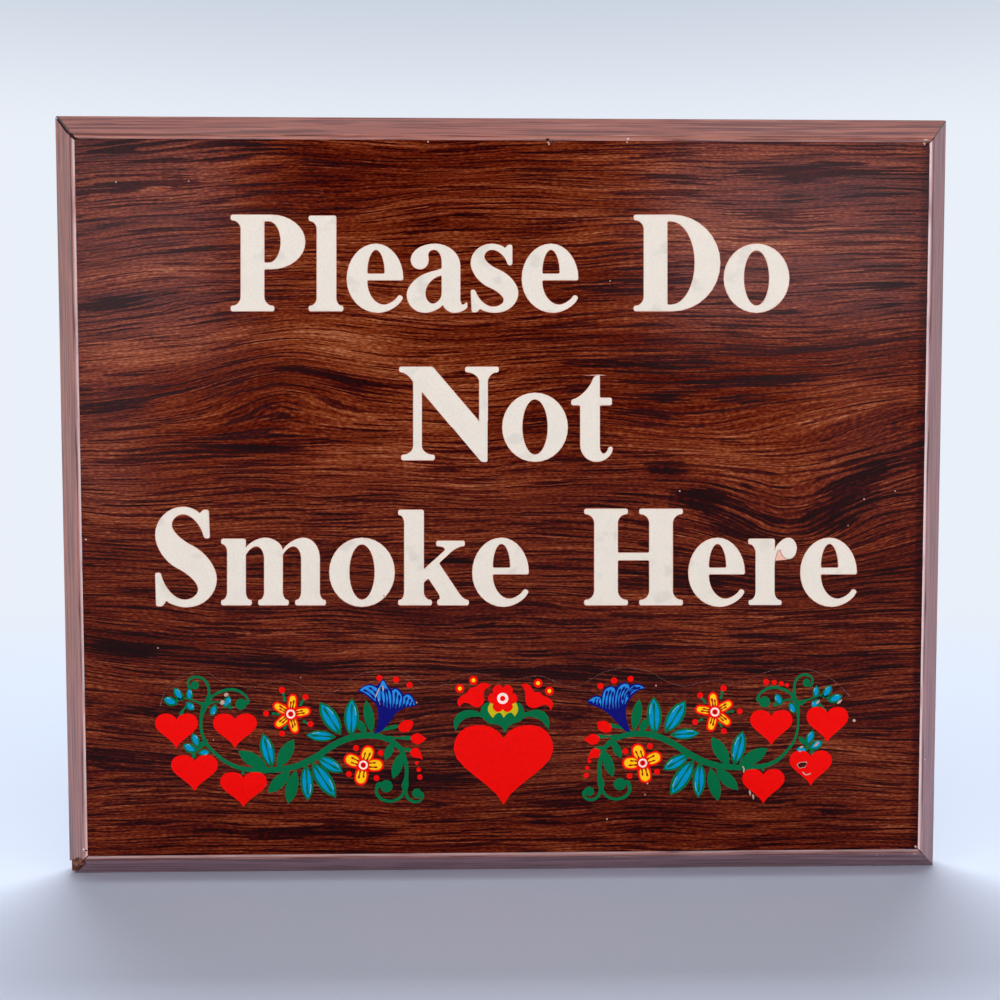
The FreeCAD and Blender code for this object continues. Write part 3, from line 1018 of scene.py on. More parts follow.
# A leaf runs from where it grows to its tip, and then has its width.
GREEN_LEAVES = (
    (268, 769, 238, 751, 13), (277, 768, 294, 739, 13), (290, 771, 268, 793, 12),
    (296, 770, 288, 804, 12), (372, 733, 366, 700, 10), (366, 733, 357, 720, 8),
    (393, 742, 385, 760, 8), (402, 752, 393, 779, 10),
)
BLUE_LEAVES = (
    (272, 768, 263, 733, 14), (306, 764, 308, 801, 13), (312, 762, 336, 798, 16),
    (317, 757, 343, 772, 13), (336, 737, 306, 735, 11), (341, 735, 320, 702, 16),
    (351, 737, 352, 698, 15),
)
BUDLETS = (
    (183, 701, 174, 687.5, 8), (178, 704, 163, 698.5, 9), (186, 702, 194, 710, 8),
    (190, 701, 189, 688, 7), (216, 704, 211, 716, 7), (224, 708, 230, 696, 8),
    (199, 748, 192.5, 733, 8), (197, 752, 183, 744.5, 9), (198, 753, 210, 752, 7),
)
# Where the blue filling starts and ends along its leaf and how wide it is, in shares of the leaf.
LEAF_FILLING = (0.06, 0.93, 0.68)
BUDLET_FILLING = (0.16, 0.9, 0.58)
TULIP = (
    (373.9, 733.6, TIP), (377.5, 725), (378.1, 713), (376.1, 704.6), (371.1, 699.5),
    (365.3, 694.9), (357.9, 690.8, TIP), (362.9, 686.3), (370.1, 684.2), (376.8, 686, TIP),
    (379.9, 682.6), (383, 679.4), (386.6, 684), (391.1, 689, TIP), (395.4, 687.7),
    (400.4, 690.4), (403.3, 694.9, TIP), (407.6, 693.2), (412.9, 696.6), (416.6, 706.2, TIP),
    (409.8, 706.8), (402.6, 709), (396, 713.4), (391.6, 719.4), (387, 725), (380.6, 731.6),
)
TULIP_LOBES = (
    (
        (359.7, 690.4, TIP), (364, 686.9), (370.5, 685.6), (377.2, 688.4, TIP), (375.8, 694),
        (375.4, 701, TIP), (370.4, 696.8), (365, 692.7),
    ),
    (
        (383, 680.8), (380.4, 685), (377.6, 690.4), (377, 696), (379.4, 703.6, TIP), (381, 700),
        (384, 706.4, TIP), (385, 702), (387, 708, TIP), (389, 703), (390.2, 709, TIP),
        (391.3, 700), (390.4, 693.4), (387.6, 688), (385.4, 684),
    ),
    (
        (392.1, 691, TIP), (395, 689.2), (399, 691.6), (401.9, 697), (401.3, 703), (399, 708, TIP),
        (397.6, 704), (395.9, 709, TIP), (394.4, 704), (392.6, 708, TIP), (392.8, 698),
    ),
    (
        (403.8, 696.4, TIP), (407.6, 694.6), (411.4, 697.2), (414, 702), (414.8, 705.4, TIP),
        (411.6, 704), (410, 706.4, TIP), (408, 704), (405.8, 707, TIP), (404.4, 703.6),
        (402, 708, TIP), (403, 702),
    ),
)
TULIP_LINES = (
    ((363.5, 689.8), (369, 692.6), (374.8, 698.4)), ((369, 687.6), (373, 690), (376.2, 694)),
    ((382, 686.5), (381, 693), (382.6, 705)), ((384, 688), (385.4, 697), (385.6, 707)),
    ((386.4, 688.5), (388.2, 697), (388.5, 708)), ((396, 692), (395.4, 700), (394.2, 709)),
    ((399.4, 695), (398.8, 702), (397.4, 709)), ((407, 697), (405.6, 702), (404, 708)),
    ((410.2, 699), (409, 704), (407.8, 707)), ((412.8, 701.6), (412, 705), (411.6, 707)),
)
RIGHT_TULIP = (
    (586.7, 702.5, TIP), (591.7, 697.5), (597.5, 695.3), (601.3, 696.6, TIP), (603.3, 690.8),
    (607.5, 686.5), (612.5, 685.9), (615.5, 687.6, TIP), (619.2, 684.2), (624.2, 682.5),
    (630, 684.9, TIP), (636.7, 683.5), (641.7, 684.8), (645.6, 688, TIP), (638.3, 690.9),
    (631.7, 696.7), (627.5, 703.3), (625.8, 711.7), (626.7, 720), (630.4, 732, TIP),
    (626.7, 731.6), (621.7, 727.5), (615, 720), (606.7, 712.5), (598.3, 707.5), (591.7, 705),
)
RIGHT_TULIP_LOBES = (
    (
        (588.2, 701.4, TIP), (592, 698.4), (597, 696.8), (600.4, 698.4), (601, 706.4, TIP),
        (598.8, 702.6), (597, 704.8, TIP), (595.4, 701.6), (593.4, 703.4, TIP), (592, 701.2),
    ),
    (
        (602.6, 708, TIP), (602.6, 698), (604.2, 691.6), (607.8, 688), (612.6, 687.3),
        (614.8, 689.6), (613.6, 698), (613.2, 709, TIP), (611, 704), (609.4, 709.4, TIP),
        (607.4, 704), (606, 709, TIP), (604.4, 704),
    ),
    (
        (616, 708.6, TIP), (615.2, 700), (616.8, 692), (619.6, 686.8), (624, 684), (627.8, 684.6),
        (629.2, 687), (625.6, 694), (622.4, 704.6, TIP), (620.6, 701), (619, 708.4, TIP),
        (617.4, 704),
    ),
    (
        (631.2, 687.4), (636.4, 685), (641, 686), (644.2, 687.8, TIP), (637.4, 689.8),
        (631, 694.4), (624.6, 704.6, TIP), (625.8, 697.6), (628.4, 691.4),
    ),
)
RIGHT_TULIP_LINES = (
    ((596.4, 698.2), (594.8, 702)), ((599, 698.8), (597.8, 703.4)),
    ((607.4, 690.6), (605.2, 698), (604.6, 707)), ((610.8, 690), (608.4, 698), (608, 708)),
    ((613.4, 691.4), (611.6, 699), (611.4, 707)), ((620.4, 688.6), (617.8, 697), (617.4, 706)),
    ((624.6, 686.8), (621, 694), (620.2, 704)), ((627.4, 687.8), (624, 693.6), (622.4, 700)),
    ((640.4, 687.4), (633, 690.2), (627.4, 697.4)), ((636, 686.6), (630.6, 690), (627.6, 695)),
)
BUDS = (
    ((398.6, 726.5), (402, 722), (406.5, 720.2), (413.4, 721.2, TIP), (412, 727.6), (408.4, 731),
     (403.4, 732), (399.6, 730.6)),
    ((410.6, 738.6), (413.4, 734.6), (418, 733.2), (422, 735.4), (426.6, 738.6, TIP),
     (422.4, 742), (418.4, 744), (413.4, 742.6)),
    ((410.4, 751.6), (413, 748.4), (417.4, 748), (420, 751), (422.8, 759.6, TIP), (417, 757.4),
     (412.4, 756.6)),
)
TULIP_DOTS = ((379.4, 678, 3.0), (396, 679.6, 3.2), (409.6, 685, 3.1))
SCROLL_DOTS = ((766.2, 682, 3.0), (774.2, 682.4, 2.6), (781.2, 683.4, 2.4), (787, 685.2, 2.2))
DOTS = (
    (416.7, 763, 1.9), (418.8, 769.6, 2.3), (419.8, 777, 2.6), (282, 690, 3.2),
    (305.5, 697, 3.0), (266, 713.5, 2.9), (310.6, 724, 3.0),
    (282, 733.5, 2.9), (356, 748, 3.0), (380.6, 753, 3.0), (349, 774, 3.0), (376.5, 778, 2.9),
)
# Each flower has its middle, the width of its petals and the way each of them points, in degrees
# anticlockwise from right.
FLOWERS = (
    (290.8, 714, 9.8, (83, 10, -75, -140, 150)),
    (363.3, 765, 13.4, (70, 0, -100, 157)),
)
# The layers of their petals: the piece, its ink and its number, how far from the flower's middle
# it starts and ends, how much narrower it is, and the radius of a disc in the middle, if any.
PETAL_LAYERS = (
    ("flower_outlines", "red", 2, 2.0, 20.8, 0.0, 7.6),
    ("petal_rims", "orange", 3, 5.0, 18.9, 3.0, 0),
    ("petals", "yellow", 4, 5.6, 18.2, 4.2, 0),
)
# The radius of the disc over the petals, of its ring's two rims and of its eye.
FLOWER_DISC = 6.0
FLOWER_RING = (4.5, 2.8)
FLOWER_EYE = 1.5
TWIG_WIDTH = 1.9
VEIN_WIDTH = 1.1
TULIP_LINE_WIDTH = 1.1
PETAL_LINE_WIDTH = 1.0
# The pieces over the large heart.
CALYX = (
    (455.6, 730.9, TIP), (453.6, 724), (455.3, 717.1), (459.7, 712.7), (466.3, 710.3),
    (474.3, 710.4), (480.2, 712.7, TIP), (481.4, 708.6), (484.6, 703.6), (490, 702), (503, 701),
    (516, 702), (522.2, 705.4), (524.4, 712.7, TIP), (531.6, 710.5), (538.2, 709.7),
    (545.5, 713.2), (549, 720), (548.8, 729, TIP), (545.5, 725.7), (539.6, 719.9), (531.6, 717),
    (524.6, 717.6), (520.6, 721), (515.4, 723), (509.6, 726), (504.8, 732.6, TIP),
    (501.5, 726.8), (496.4, 724.5), (489, 723.5), (484.8, 720.4), (481.4, 717.4),
    (474.3, 716.7), (465.5, 718.7), (459.7, 723.5),
)
SCALLOPS = (
    (491, 701.8, TIP), (487.8, 708.3), (489.4, 713.6), (493.1, 718, TIP), (495.6, 714.4),
    (499.7, 712.8), (503.7, 717.7, TIP), (507.4, 713.6), (511.4, 712.8), (514.7, 716.6, TIP),
    (518.2, 709.8), (515.8, 701.8, TIP),
)
CURLED_BUDS = (
    (
        (491.4, 685.6, TIP), (484.8, 682.8), (479.6, 683.8), (475.8, 687, TIP), (470, 688, TIP),
        (466.6, 692.8), (460, 697), (457.3, 702), (459.3, 706.8, TIP), (463.4, 703),
        (469.6, 703.8), (474.3, 706.8), (479.6, 706.4), (484, 701.6), (483.8, 693.6),
        (485.9, 688.7),
    ),
    (
        (520.7, 685, TIP), (525.2, 683.5), (530.3, 686.3), (534, 692, TIP), (539.6, 692, TIP),
        (543.6, 695.8), (549.6, 698.6), (553.1, 703.9), (550.7, 710.4, TIP), (548, 705.6),
        (543, 704.8), (537.4, 707.4), (530.3, 707.4), (526.2, 703.2), (525.2, 694.3),
        (524, 688.5),
    ),
)
EYED_DOTS = ((473.4, 680.3), (459.8, 688.5), (538, 683.2), (549.3, 691))
CROWN_FLOWER = (502.7, 698.4)
CROWN_PETALS = range(0, 360, 60)
CROWN_PETAL = (3, 14.6, 10.6)  # where it starts and ends, and its width
CROWN_DISC = 9.5
CROWN_RING = (5.6, 2.7)
EYED_DOT = 4.5
DOT_EYE = 2.0

# The sides of a heart, in shares of its width from the middle and of its height from the top. Each
# has two handles and the point that it reaches, and they start at the notch.
HEART = (
    (0.05, 0.05, 0.14, 0, 0.26, 0),
    (0.40, 0, 0.5, 0.12, 0.5, 0.30),
    (0.5, 0.55, 0.09, 0.73, 0, 1),
    (-0.09, 0.73, -0.5, 0.55, -0.5, 0.30),
    (-0.5, 0.12, -0.40, 0, -0.26, 0),
    (-0.14, 0, -0.05, 0.05, 0, 0.17),
)


def heart(left, right, top, tip):
    """A heart with round shoulders and a drawn-out tip."""
    middle, width, height = (left + right) / 2, right - left, tip - top
    sides = []
    for side in HEART:
        shares = zip(side[::2], side[1::2])
        places = [(middle + across * width, top + down * height) for across, down in shares]
        sides.append(sum(places, ()))
    return drawn(sides)


def leaf(x, y, tip_x, tip_y, width, start=0.0, end=1.0, share=1.0):
    """A full leaf with pointed ends, or the part of it between two shares of its length."""
    base, along = Vector((x, y)), Vector((tip_x - x, tip_y - y))
    across = along.orthogonal().normalized() * width * share / 2
    first, last = base + along * start, base + along * end
    stations = ((0.22, 0.72), (0.5, 1.0), (0.78, 0.74))
    one_side = [first.lerp(last, part) + across * wide for part, wide in stations]
    other_side = [first.lerp(last, part) - across * wide for part, wide in stations]
    return flowing([(*first, TIP), *one_side, (*last, TIP), *reversed(other_side)])


def leaf_vein(x, y, tip_x, tip_y, width):
    """A line along the middle of a leaf, from just after its start to before its tip."""
    base, tip = Vector((x, y)), Vector((tip_x, tip_y))
    return line(VEIN_WIDTH, tuple(base.lerp(tip, 0.06)), tuple(base.lerp(tip, 0.84)))


def leaf_shine(x, y, tip_x, tip_y, width):
    """A thin pale glint along the right edge of a leaf's filling, near its tip."""
    base, along = Vector((x, y)), Vector((tip_x - x, tip_y - y))
    across = along.orthogonal().normalized() * width
    if across.x < 0:
        across.negate()
    stations = ((0.55, 0.3, 0.3), (0.68, 0.27, 0.7), (0.8, 0.18, 0.3))
    places = [base + along * part + across * out for part, out, _ in stations]
    return stroke([(*place, thick) for place, (*_, thick) in zip(places, stations)])


def pointing(x, y, angle, width):
    """A petal's start in the middle of its flower, the way it points and the way across it."""
    turn = math.radians(angle)
    along = Vector((math.cos(turn), -math.sin(turn)))
    return Vector((x, y)), along, Vector((math.sin(turn), math.cos(turn))) * width


def petal(x, y, angle, inner, outer, width):
    """A petal that points away from a flower's middle, widest near its blunt tip."""
    middle, along, across = pointing(x, y, angle, width)
    reach = outer - inner
    stations = ((inner, 0.26), (inner + 0.62 * reach, 0.5), (inner + 0.94 * reach, 0.27))
    right = [middle + along * out + across * wide for out, wide in stations]
    left = [middle + along * out - across * wide for out, wide in stations]
    return flowing(right + left[::-1])


def petal_lines(x, y, angle, width):
    """The two dark lines that run out along a petal, of which one is a little shorter."""
    middle, along, across = pointing(x, y, angle, (width - 4.4) / 5)
    start = middle + along * 5
    return [
        line(PETAL_LINE_WIDTH, start + across * side, middle + along * end + across * (1.3 * side))
        for side, end in ((1, 14.0), (-1, 12.5))
    ]


class OrnamentSettings(bpy.types.PropertyGroup):
    red: colour_setting("Red", "Ink of hearts, buds and flowers", 230, 6, 2)
    green: colour_setting("Green", "Ink of stems and leaves", 0, 101, 58)
    leaf_blue: colour_setting("Leaf Blue", "Ink of the filling of the blue leaves", 0, 138, 184)
    pale_blue: colour_setting("Pale Blue", "Ink of the glints on the blue leaves", 104, 178, 202)
    yellow: colour_setting("Yellow", "Ink of petals", 250, 196, 16)
    orange: colour_setting("Orange", "Ink of the rims of the petals", 245, 120, 20)
    dark_red: colour_setting("Dark Red", "Ink of the lines in the petals", 156, 12, 0)
    olive: colour_setting("Olive", "Ink of the scallops over the large heart", 190, 176, 18)
    deep_blue: colour_setting("Deep Blue", "Ink of the tulips", 12, 12, 106)
    light_blue: colour_setting("Light Blue", "Ink of the tulips' lobes", 36, 132, 212)
    white: colour_setting("White", "Ink of the rings in the flowers", 246, 220, 206)
    step: length_setting(
        "Step", "How much prouder each colour stands than the one below it", 0.01 * MM
    )


class PLAQUE_OT_hearts(bpy.types.Operator):
    """Print the large heart and the eight small ones"""

    bl_idname = "plaque.hearts"
    bl_label = "Hearts"

    def execute(self, context):
        ink = Inks(context.scene.plaque_ornament)
        ink.layer("hearts_left", "red", 3, [heart(*place) for place in LEFT_HEARTS])
        ink.layer("hearts_right", "red", 3, [heart(*place) for place in RIGHT_HEARTS])
        ink.layer("large_heart", "red", 3, [heart(*CENTRE_HEART)])
        return {"FINISHED"}


class PLAQUE_OT_foliage(bpy.types.Operator):
    """Print the vines, their scrolls and twigs, and the green and blue leaves"""

    bl_idname = "plaque.foliage"
    bl_label = "Foliage"

    def execute(self, context):
        ink = Inks(context.scene.plaque_ornament)
        stems = [stroke(VINE)] + [stroke(points) for points in SCROLLS]
        stems += [circle(*end) for end in SCROLL_ENDS]
        ink.both_sides("vines", "green", 1, stems, right_vine)
        ink.both_sides("twigs", "green", 1.5, [line(TWIG_WIDTH, *points) for points in TWIGS])
        rims = [leaf(*place) for place in GREEN_LEAVES + BLUE_LEAVES + BUDLETS]
        ink.both_sides("leaves", "green", 2, rims)
        fills = [leaf(*place, *LEAF_FILLING) for place in BLUE_LEAVES]
        fills += [leaf(*place, *BUDLET_FILLING) for place in BUDLETS]
        ink.both_sides("leaf_fillings", "leaf_blue", 3, fills)
        ink.both_sides("leaf_veins", "green", 4, [leaf_vein(*place) for place in BLUE_LEAVES])
        glints = [leaf_shine(*place) for place in BLUE_LEAVES + BUDLETS]
        ink.both_sides("leaf_glints", "pale_blue", 5, glints)
        return {"FINISHED"}


class PLAQUE_OT_flowers(bpy.types.Operator):
    """Print the yellow flowers, the blue tulips, the red buds and the dots round them"""

    bl_idname = "plaque.flowers"
    bl_label = "Flowers"

    def execute(self, context):
        ink = Inks(context.scene.plaque_ornament)
        petals = [(x, y, angle, width) for x, y, width, angles in FLOWERS for angle in angles]
        for name, colour, number, *reach, narrower, middle in PETAL_LAYERS:
            shapes = [petal(*place, *reach, width - narrower) for *place, width in petals]
            shapes += [circle(x, y, middle) for x, y, *_ in FLOWERS if middle]
            ink.both_sides(name, colour, number, shapes)
        lines = [one for place in petals for one in petal_lines(*place)]
        ink.both_sides("petal_lines", "dark_red", 5, lines)
        discs = [circle(x, y, FLOWER_DISC) for x, y, *_ in FLOWERS]
        ink.both_sides("flower_discs", "red", 6, discs)
        rings = [ring(x, y, *FLOWER_RING) for x, y, *_ in FLOWERS]
        ink.both_sides("flower_rings", "white", 7, rings)
        eyes = [circle(x, y, FLOWER_EYE) for x, y, *_ in FLOWERS]
        ink.both_sides("flower_eyes", "dark_red", 8, eyes)
        for side, outline, lobes, lines in (
            ("left", TULIP, TULIP_LOBES, TULIP_LINES),
            ("right", RIGHT_TULIP, RIGHT_TULIP_LOBES, RIGHT_TULIP_LINES),
        ):
            ink.layer(f"tulip_{side}", "deep_blue", 3, [flowing(outline)])
            lobes = [flowing(points) for points in lobes]
            ink.layer(f"tulip_lobes_{side}", "light_blue", 4, lobes)
            lines = [line(TULIP_LINE_WIDTH, *points) for points in lines]
            ink.layer(f"tulip_lines_{side}", "deep_blue", 5, lines)
        buds = [flowing(points) for points in BUDS] + [circle(*dot) for dot in TULIP_DOTS]
        ink.both_sides("buds", "red", 3, buds, right_buds)
        ink.both_sides("dots", "red", 3, [circle(*dot) for dot in DOTS])
        ink.layer("scroll_dots", "red", 3, [circle(*dot) for dot in SCROLL_DOTS])
        return {"FINISHED"}


class PLAQUE_OT_crown(bpy.types.Operator):
    """Print the flower, the green calyx and the curled buds over the large heart"""

    bl_idname = "plaque.crown"
    bl_label = "Crown"

    def execute(self, context):
        ink = Inks(context.scene.plaque_ornament)
        ink.layer("calyx", "green", 2, [flowing(CALYX)])
        ink.layer("scallops", "olive", 3, [flowing(SCALLOPS)])
        red = [petal(*CROWN_FLOWER, angle, *CROWN_PETAL) for angle in CROWN_PETALS]
        red.append(circle(*CROWN_FLOWER, CROWN_DISC))
        ink.layer("crown_flower", "red", 4, red)
        ink.layer("crown_ring", "white", 5, [ring(*CROWN_FLOWER, *CROWN_RING)])
        ink.layer("curled_buds", "red", 3, [flowing(points) for points in CURLED_BUDS])
        ink.layer("eyed_dots", "red", 3, [circle(x, y, EYED_DOT) for x, y in EYED_DOTS])
        ink.layer("dot_eyes", "yellow", 4, [circle(x, y, DOT_EYE) for x, y in EYED_DOTS])
        return {"FINISHED"}


# Wear

# The print lies on a clear film, whose upper edge shows as a faint line.
FILM_EDGE = (
    (160, 706), (166, 690), (176, 680), (190, 673), (206, 672), (219, 680), (236, 684), (252, 688),
    (268, 683), (284, 680), (300, 685), (316, 692), (332, 693), (346, 683), (360, 674), (382, 671),
    (404, 673), (418, 681), (432, 687), (445, 684), (459, 677), (474, 673), (489, 676), (504, 681),
    (523, 678), (540, 676), (556, 682), (572, 687), (588, 681), (604, 672), (630, 668), (650, 672),
    (666, 681), (684, 686), (702, 682), (720, 680), (740, 683), (756, 676), (774, 670), (800, 668),
    (822, 674), (838, 684), (850, 697),
)
FILM_EDGE_WIDTH = 0.55
# Pale specks on the face, each with its place and half its size, in pixels of the picture.
SPECKS = (
    (116, 182, 0.8), (188.7, 181.3, 0.6), (610, 281, 0.7), (86, 539.5, 0.9), (158, 648, 0.7),
    (679.6, 491, 0.8), (864, 499, 0.8), (895, 491, 0.7), (848, 525.5, 0.6), (656, 685.5, 0.8),
    (854, 720.4, 1.5), (647.5, 783.5, 0.8), (645, 794.6, 0.7), (607, 819, 0.9), (733, 755, 0.7),
    (213.5, 740, 0.6), (300.6, 677.4, 0.6), (378.5, 700, 0.6), (380, 704, 0.5),
    (416.6, 702.5, 0.8), (428, 141.8, 0.9), (549, 144.2, 0.9), (627, 142.2, 0.9),
    (915.5, 846.5, 1.1),
)
# Scratches, each through places with its width there, in pixels of the picture.
SCRATCHES = (
    ((379.3, 688, 0.4), (377.2, 692.6, 1.2), (375.5, 697.5, 0.4)),
    ((382.5, 685, 0.4), (383.5, 691, 0.7)),
    ((742.4, 766, 0.5), (744, 769, 1.3), (743.4, 772.5, 0.5)),
    ((749.4, 790, 0.5), (750.4, 795, 0.9)),
    ((752.8, 794, 0.4), (753.4, 799, 0.8)),
    ((802.4, 771.4, 0.4), (805.6, 774.8, 1.1), (811, 773, 0.5)),
    ((383, 594.6, 0.4), (385.4, 597.6, 0.8)),
    ((816, 703.6, 0.5), (819.6, 700.4, 1.0)),
    ((837, 703.6, 0.6), (841.6, 700, 1.1)),
    ((799.4, 748, 0.5), (803, 746.2, 1.1)),
    ((814, 746.4, 0.5), (818.6, 742.8, 1.0)),
)
# Where print has come off: pale paste with sharp edges, and one hole in the right garland.
CHIPS = (
    ((220, 702.6), (221.6, 700), (224.6, 700.8), (224.4, 703.6), (221.4, 705)),
    ((223.8, 694.4), (226, 692.6), (228.6, 693.6), (228, 696), (225, 696.6)),
    ((796.6, 764.4), (799.9, 762), (806.6, 761.6), (807, 763), (804.8, 767.2), (799.2, 768.2)),
    ((922.4, 142.8), (925.2, 142.6), (924.8, 145.6), (923.8, 144.2)),
    ((546.6, 141.9), (549.6, 141.9), (548.4, 143.6)),
)
HOLE = (
    (797.4, 764.6), (800.2, 762.6), (806, 762.2), (806.6, 763.8), (804.4, 766.8), (799.4, 767.6),
)


class WearSettings(bpy.types.PropertyGroup):
    pale: colour_setting("Pale", "Colour of specks, scratches and chips", 184, 158, 142)
    hole: colour_setting("Hole", "Colour of the hole in a heart of the right garland", 70, 8, 6)
    film: colour_setting("Film", "Colour of the edge of the clear film", 150, 96, 80)
    film_strength: share_setting("Film Strength", "How clearly the film's edge shows", 0.22)
    height: length_setting(
        "Height", "How far the specks and chips stand proud of the face sheet", 0.09 * MM
    )


class PLAQUE_OT_wear(bpy.types.Operator):
    """Add the film's edge and the specks, scratches and chips on the face"""

    bl_idname = "plaque.wear"
    bl_label = "Wear"

    def execute(self, context):
        settings = context.scene.plaque_wear
        pale = ink_finish("pale_chips", tuple(settings.pale))
        specks = [circle(*speck) for speck in SPECKS]
        print_on_face("specks", specks, settings.height, pale, steps=2)
        print_on_face("scratches", [stroke(p) for p in SCRATCHES], settings.height, pale, steps=2)
        print_on_face("chips", [drawn(p) for p in CHIPS], settings.height, pale)
        dark = ink_finish("hole", tuple(settings.hole))
        print_on_face("heart_hole", [drawn(HOLE)], settings.height * 1.1, dark)
        film = Finish.material("film_edge").surface(
            tuple(settings.film), 0.4, Alpha=settings.film_strength
        )
        edge = [line(FILM_EDGE_WIDTH, *FILM_EDGE)]
        print_on_face("film_edge", edge, settings.height / 9, film, steps=4)
        return {"FINISHED"}


# The stage

def shows_background(finish):
    """1 where the camera looks straight at the background, or sees it in gloss or through glass."""
    paths = finish.node("ShaderNodeLightPath").socket.node.outputs
    camera, glossy, through = (
        Value(finish, paths[name])
        for name in ("Is Camera Ray", "Is Glossy Ray", "Is Transmission Ray")
    )
    return (camera + glossy + through).least(1), glossy


def floor_finish(settings):
    """Pale and matt, fading into the backdrop further away."""
    finish = Finish.material("pale_floor")
    x, y, _ = finish.axes()
    lit_sockets = {"Base Color": opaque(settings.floor), "Roughness": 1.0}
    lit = finish.node("ShaderNodeBsdfPrincipled", {}, lit_sockets)
    far = (x * x + y * y).root().rise(settings.fade_start / MM, settings.fade_end / MM)
    plain = finish.node("ShaderNodeEmission", {}, {"Color": opaque(settings.backdrop)})
    background, _ = shows_background(finish)
    shader = finish.node("ShaderNodeMixShader", {}, {0: far * background, 1: lit, 2: plain})
    return finish.end(shader)


def backdrop_world(settings):
    """Pale to the camera, a little darker high up. The room before the plaque is dark."""
    finish = Finish(bpy.data.worlds.new("backdrop"), "World")
    background, glossy = shows_background(finish)
    _, y, z = finish.parts(finish.node("ShaderNodeTexCoord", output="Generated"))
    colour = finish.mix(z.rise(0.2, 0.36), tuple(settings.backdrop), tuple(settings.high_up))
    dark = glossy * y.rise(0.2, -0.2)
    colour = finish.mix(background - dark, tuple(settings.around), colour)
    return finish.end(finish.node("ShaderNodeBackground", {}, {"Color": colour}))


class StageSettings(bpy.types.PropertyGroup):
    backdrop: colour_setting("Backdrop", "Colour of all that is far away", 234, 240, 249)
    high_up: colour_setting("High Up", "Colour of the backdrop above the plaque", 196, 205, 220)
    around: colour_setting("Around", "Colour of the unseen room round the plaque", 63, 63, 63)
    floor: colour_setting("Floor", "Colour of the floor near the plaque", 217, 229, 250)
    floor_radius: length_setting("Floor Radius", "How far the floor reaches from the plaque", 4.0)
    fade_start: length_setting(
        "Fade Start", "Distance at which the floor starts to fade into the backdrop", 0.15
    )
    fade_end: length_setting(
        "Fade End", "Distance from which the floor has the backdrop's colour", 0.5
    )
    light: number_setting(
        "Light", "How strong the lamps are together, where 1 shows colours as they are", 1.0, min=0
    )


# Each lamp has its place, its size in metres and its power in watts, and is aimed at the plaque.
LAMPS = {
    "lamp_above": ((0.0, -0.65, 1.05), (1.2, 0.6), 3.6),
    "lamp_left": ((-1.0, -0.8, 0.22), (0.7, 0.55), 6.3),
    "lamp_right": ((1.0, -0.8, 0.22), (0.7, 0.55), 6.3),
    "lamp_behind": ((0.0, 0.5, 1.15), (0.8, 0.4), 15.0),
    "sheen_left": ((-0.40, -1.2, 0.23), (0.24, 0.26), 1.5),
    "sheen_left_low": ((-0.44, -1.2, 0.0), (0.12, 0.2), 0.3),
    "sheen_right": ((0.36, -1.2, 0.24), (0.30, 0.21), 1.9),
    "sheen_right_low": ((0.455, -1.2, -0.03), (0.09, 0.33), 0.2),
}
UNSEEN_IN_GLOSS = ("lamp_behind",)  # left out of reflections
SHEEN_TINT = (1.0, 0.78, 0.84)  # of the weak lamps that shine on the face's upper corners
WHITE = (1.0, 1.0, 1.0)
NEAREST_SEEN = 0.01
FLOOR_SIDES = 64


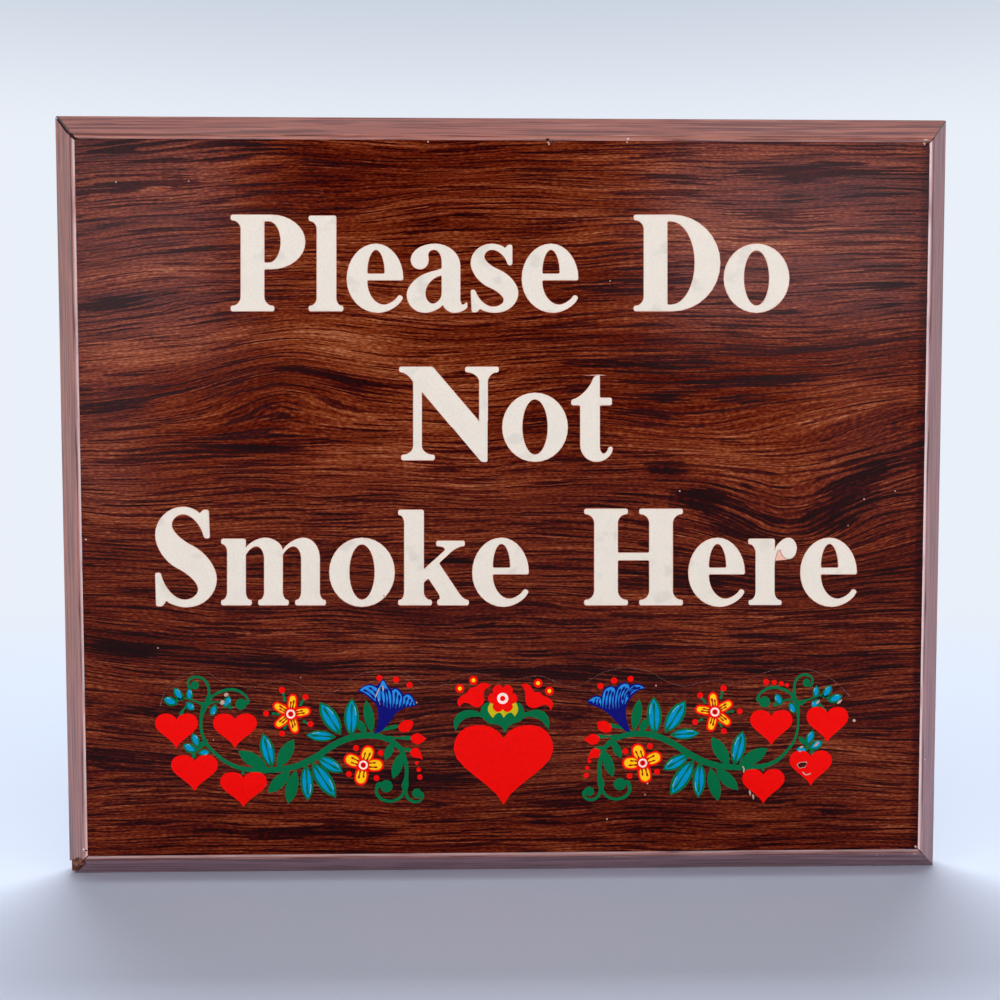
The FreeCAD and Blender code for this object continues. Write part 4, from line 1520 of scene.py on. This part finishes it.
class PLAQUE_OT_stage(bpy.types.Operator):
    """Set up the camera, the pale floor and the soft lamps"""

    bl_idname = "plaque.stage"
    bl_label = "Stage"

    def execute(self, context):
        settings = context.scene.plaque_stage
        self.make_camera(context)
        self.make_floor(settings)
        for name, (place, size, power) in LAMPS.items():
            self.make_lamp(name, Vector(place), size, power * settings.light)
        context.scene.world = backdrop_world(settings)
        context.scene.view_settings.view_transform = "Standard"
        return {"FINISHED"}

    def make_camera(self, context):
        lens = bpy.data.cameras.new("camera")
        lens.sensor_width = SENSOR_WIDTH
        lens.lens = FOCAL_PIXELS * SENSOR_WIDTH / PICTURE_PIXELS
        lens.clip_start = NEAREST_SEEN
        camera = add_object("camera", lens)
        camera.matrix_world = CAMERA
        context.scene.camera = camera

    def make_floor(self, settings):
        disc = bmesh.new()
        radius = settings.floor_radius
        bmesh.ops.create_circle(disc, cap_ends=True, radius=radius, segments=FLOOR_SIDES)
        bmesh.ops.translate(disc, verts=disc.verts, vec=(0, 0, UNDERSIDE))
        mesh = bpy.data.meshes.new("floor")
        disc.to_mesh(mesh)
        disc.free()
        mesh.materials.append(floor_finish(settings))
        add_object("floor", mesh)

    def make_lamp(self, name, place, size, power):
        light = bpy.data.lights.new(name, "AREA")
        light.shape = "RECTANGLE"
        light.size, light.size_y = size
        light.energy = power
        light.color = SHEEN_TINT if name.startswith("sheen") else WHITE
        lamp = add_object(name, light)
        lamp.visible_camera = False
        lamp.visible_glossy = name not in UNSEEN_IN_GLOSS
        turn = place.to_track_quat("Z", "Y").to_matrix().to_4x4()
        lamp.matrix_world = Matrix.Translation(place) @ turn


class PLAQUE_PT_pieces(bpy.types.Panel):
    """Shows a button for each of the plaque's steps, and its settings"""

    bl_idname = "PLAQUE_PT_pieces"
    bl_label = "Plaque"
    bl_space_type = "VIEW_3D"
    bl_region_type = "UI"
    bl_category = "Plaque"

    def draw(self, context):
        for name in OPERATORS:
            self.layout.operator(f"plaque.{name}")
        for group in SETTINGS:
            box = self.layout.box()
            settings = getattr(context.scene, group)
            for name in settings.__annotations__:
                box.prop(settings, name)


# In the order in which they are run.
OPERATORS = ("stage", "finishes", "lettering", "foliage", "hearts", "flowers", "crown", "wear")
CLASSES = (
    StageSettings,
    WoodSettings,
    LetterSettings,
    OrnamentSettings,
    WearSettings,
    PLAQUE_OT_stage,
    PLAQUE_OT_finishes,
    PLAQUE_OT_lettering,
    PLAQUE_OT_foliage,
    PLAQUE_OT_hearts,
    PLAQUE_OT_flowers,
    PLAQUE_OT_crown,
    PLAQUE_OT_wear,
    PLAQUE_PT_pieces,
)
SETTINGS = {
    "plaque_stage": StageSettings,
    "plaque_wood": WoodSettings,
    "plaque_letters": LetterSettings,
    "plaque_ornament": OrnamentSettings,
    "plaque_wear": WearSettings,
}


def register():
    for item in CLASSES:
        bpy.utils.register_class(item)
    for name, group in SETTINGS.items():
        setattr(bpy.types.Scene, name, bpy.props.PointerProperty(type=group))


def unregister():
    for name in SETTINGS:
        delattr(bpy.types.Scene, name)
    for item in reversed(CLASSES):
        bpy.utils.unregister_class(item)


def main():
    register()
    for name in OPERATORS:
        getattr(bpy.ops.plaque, name)()


if __name__ == "__main__":
    main()
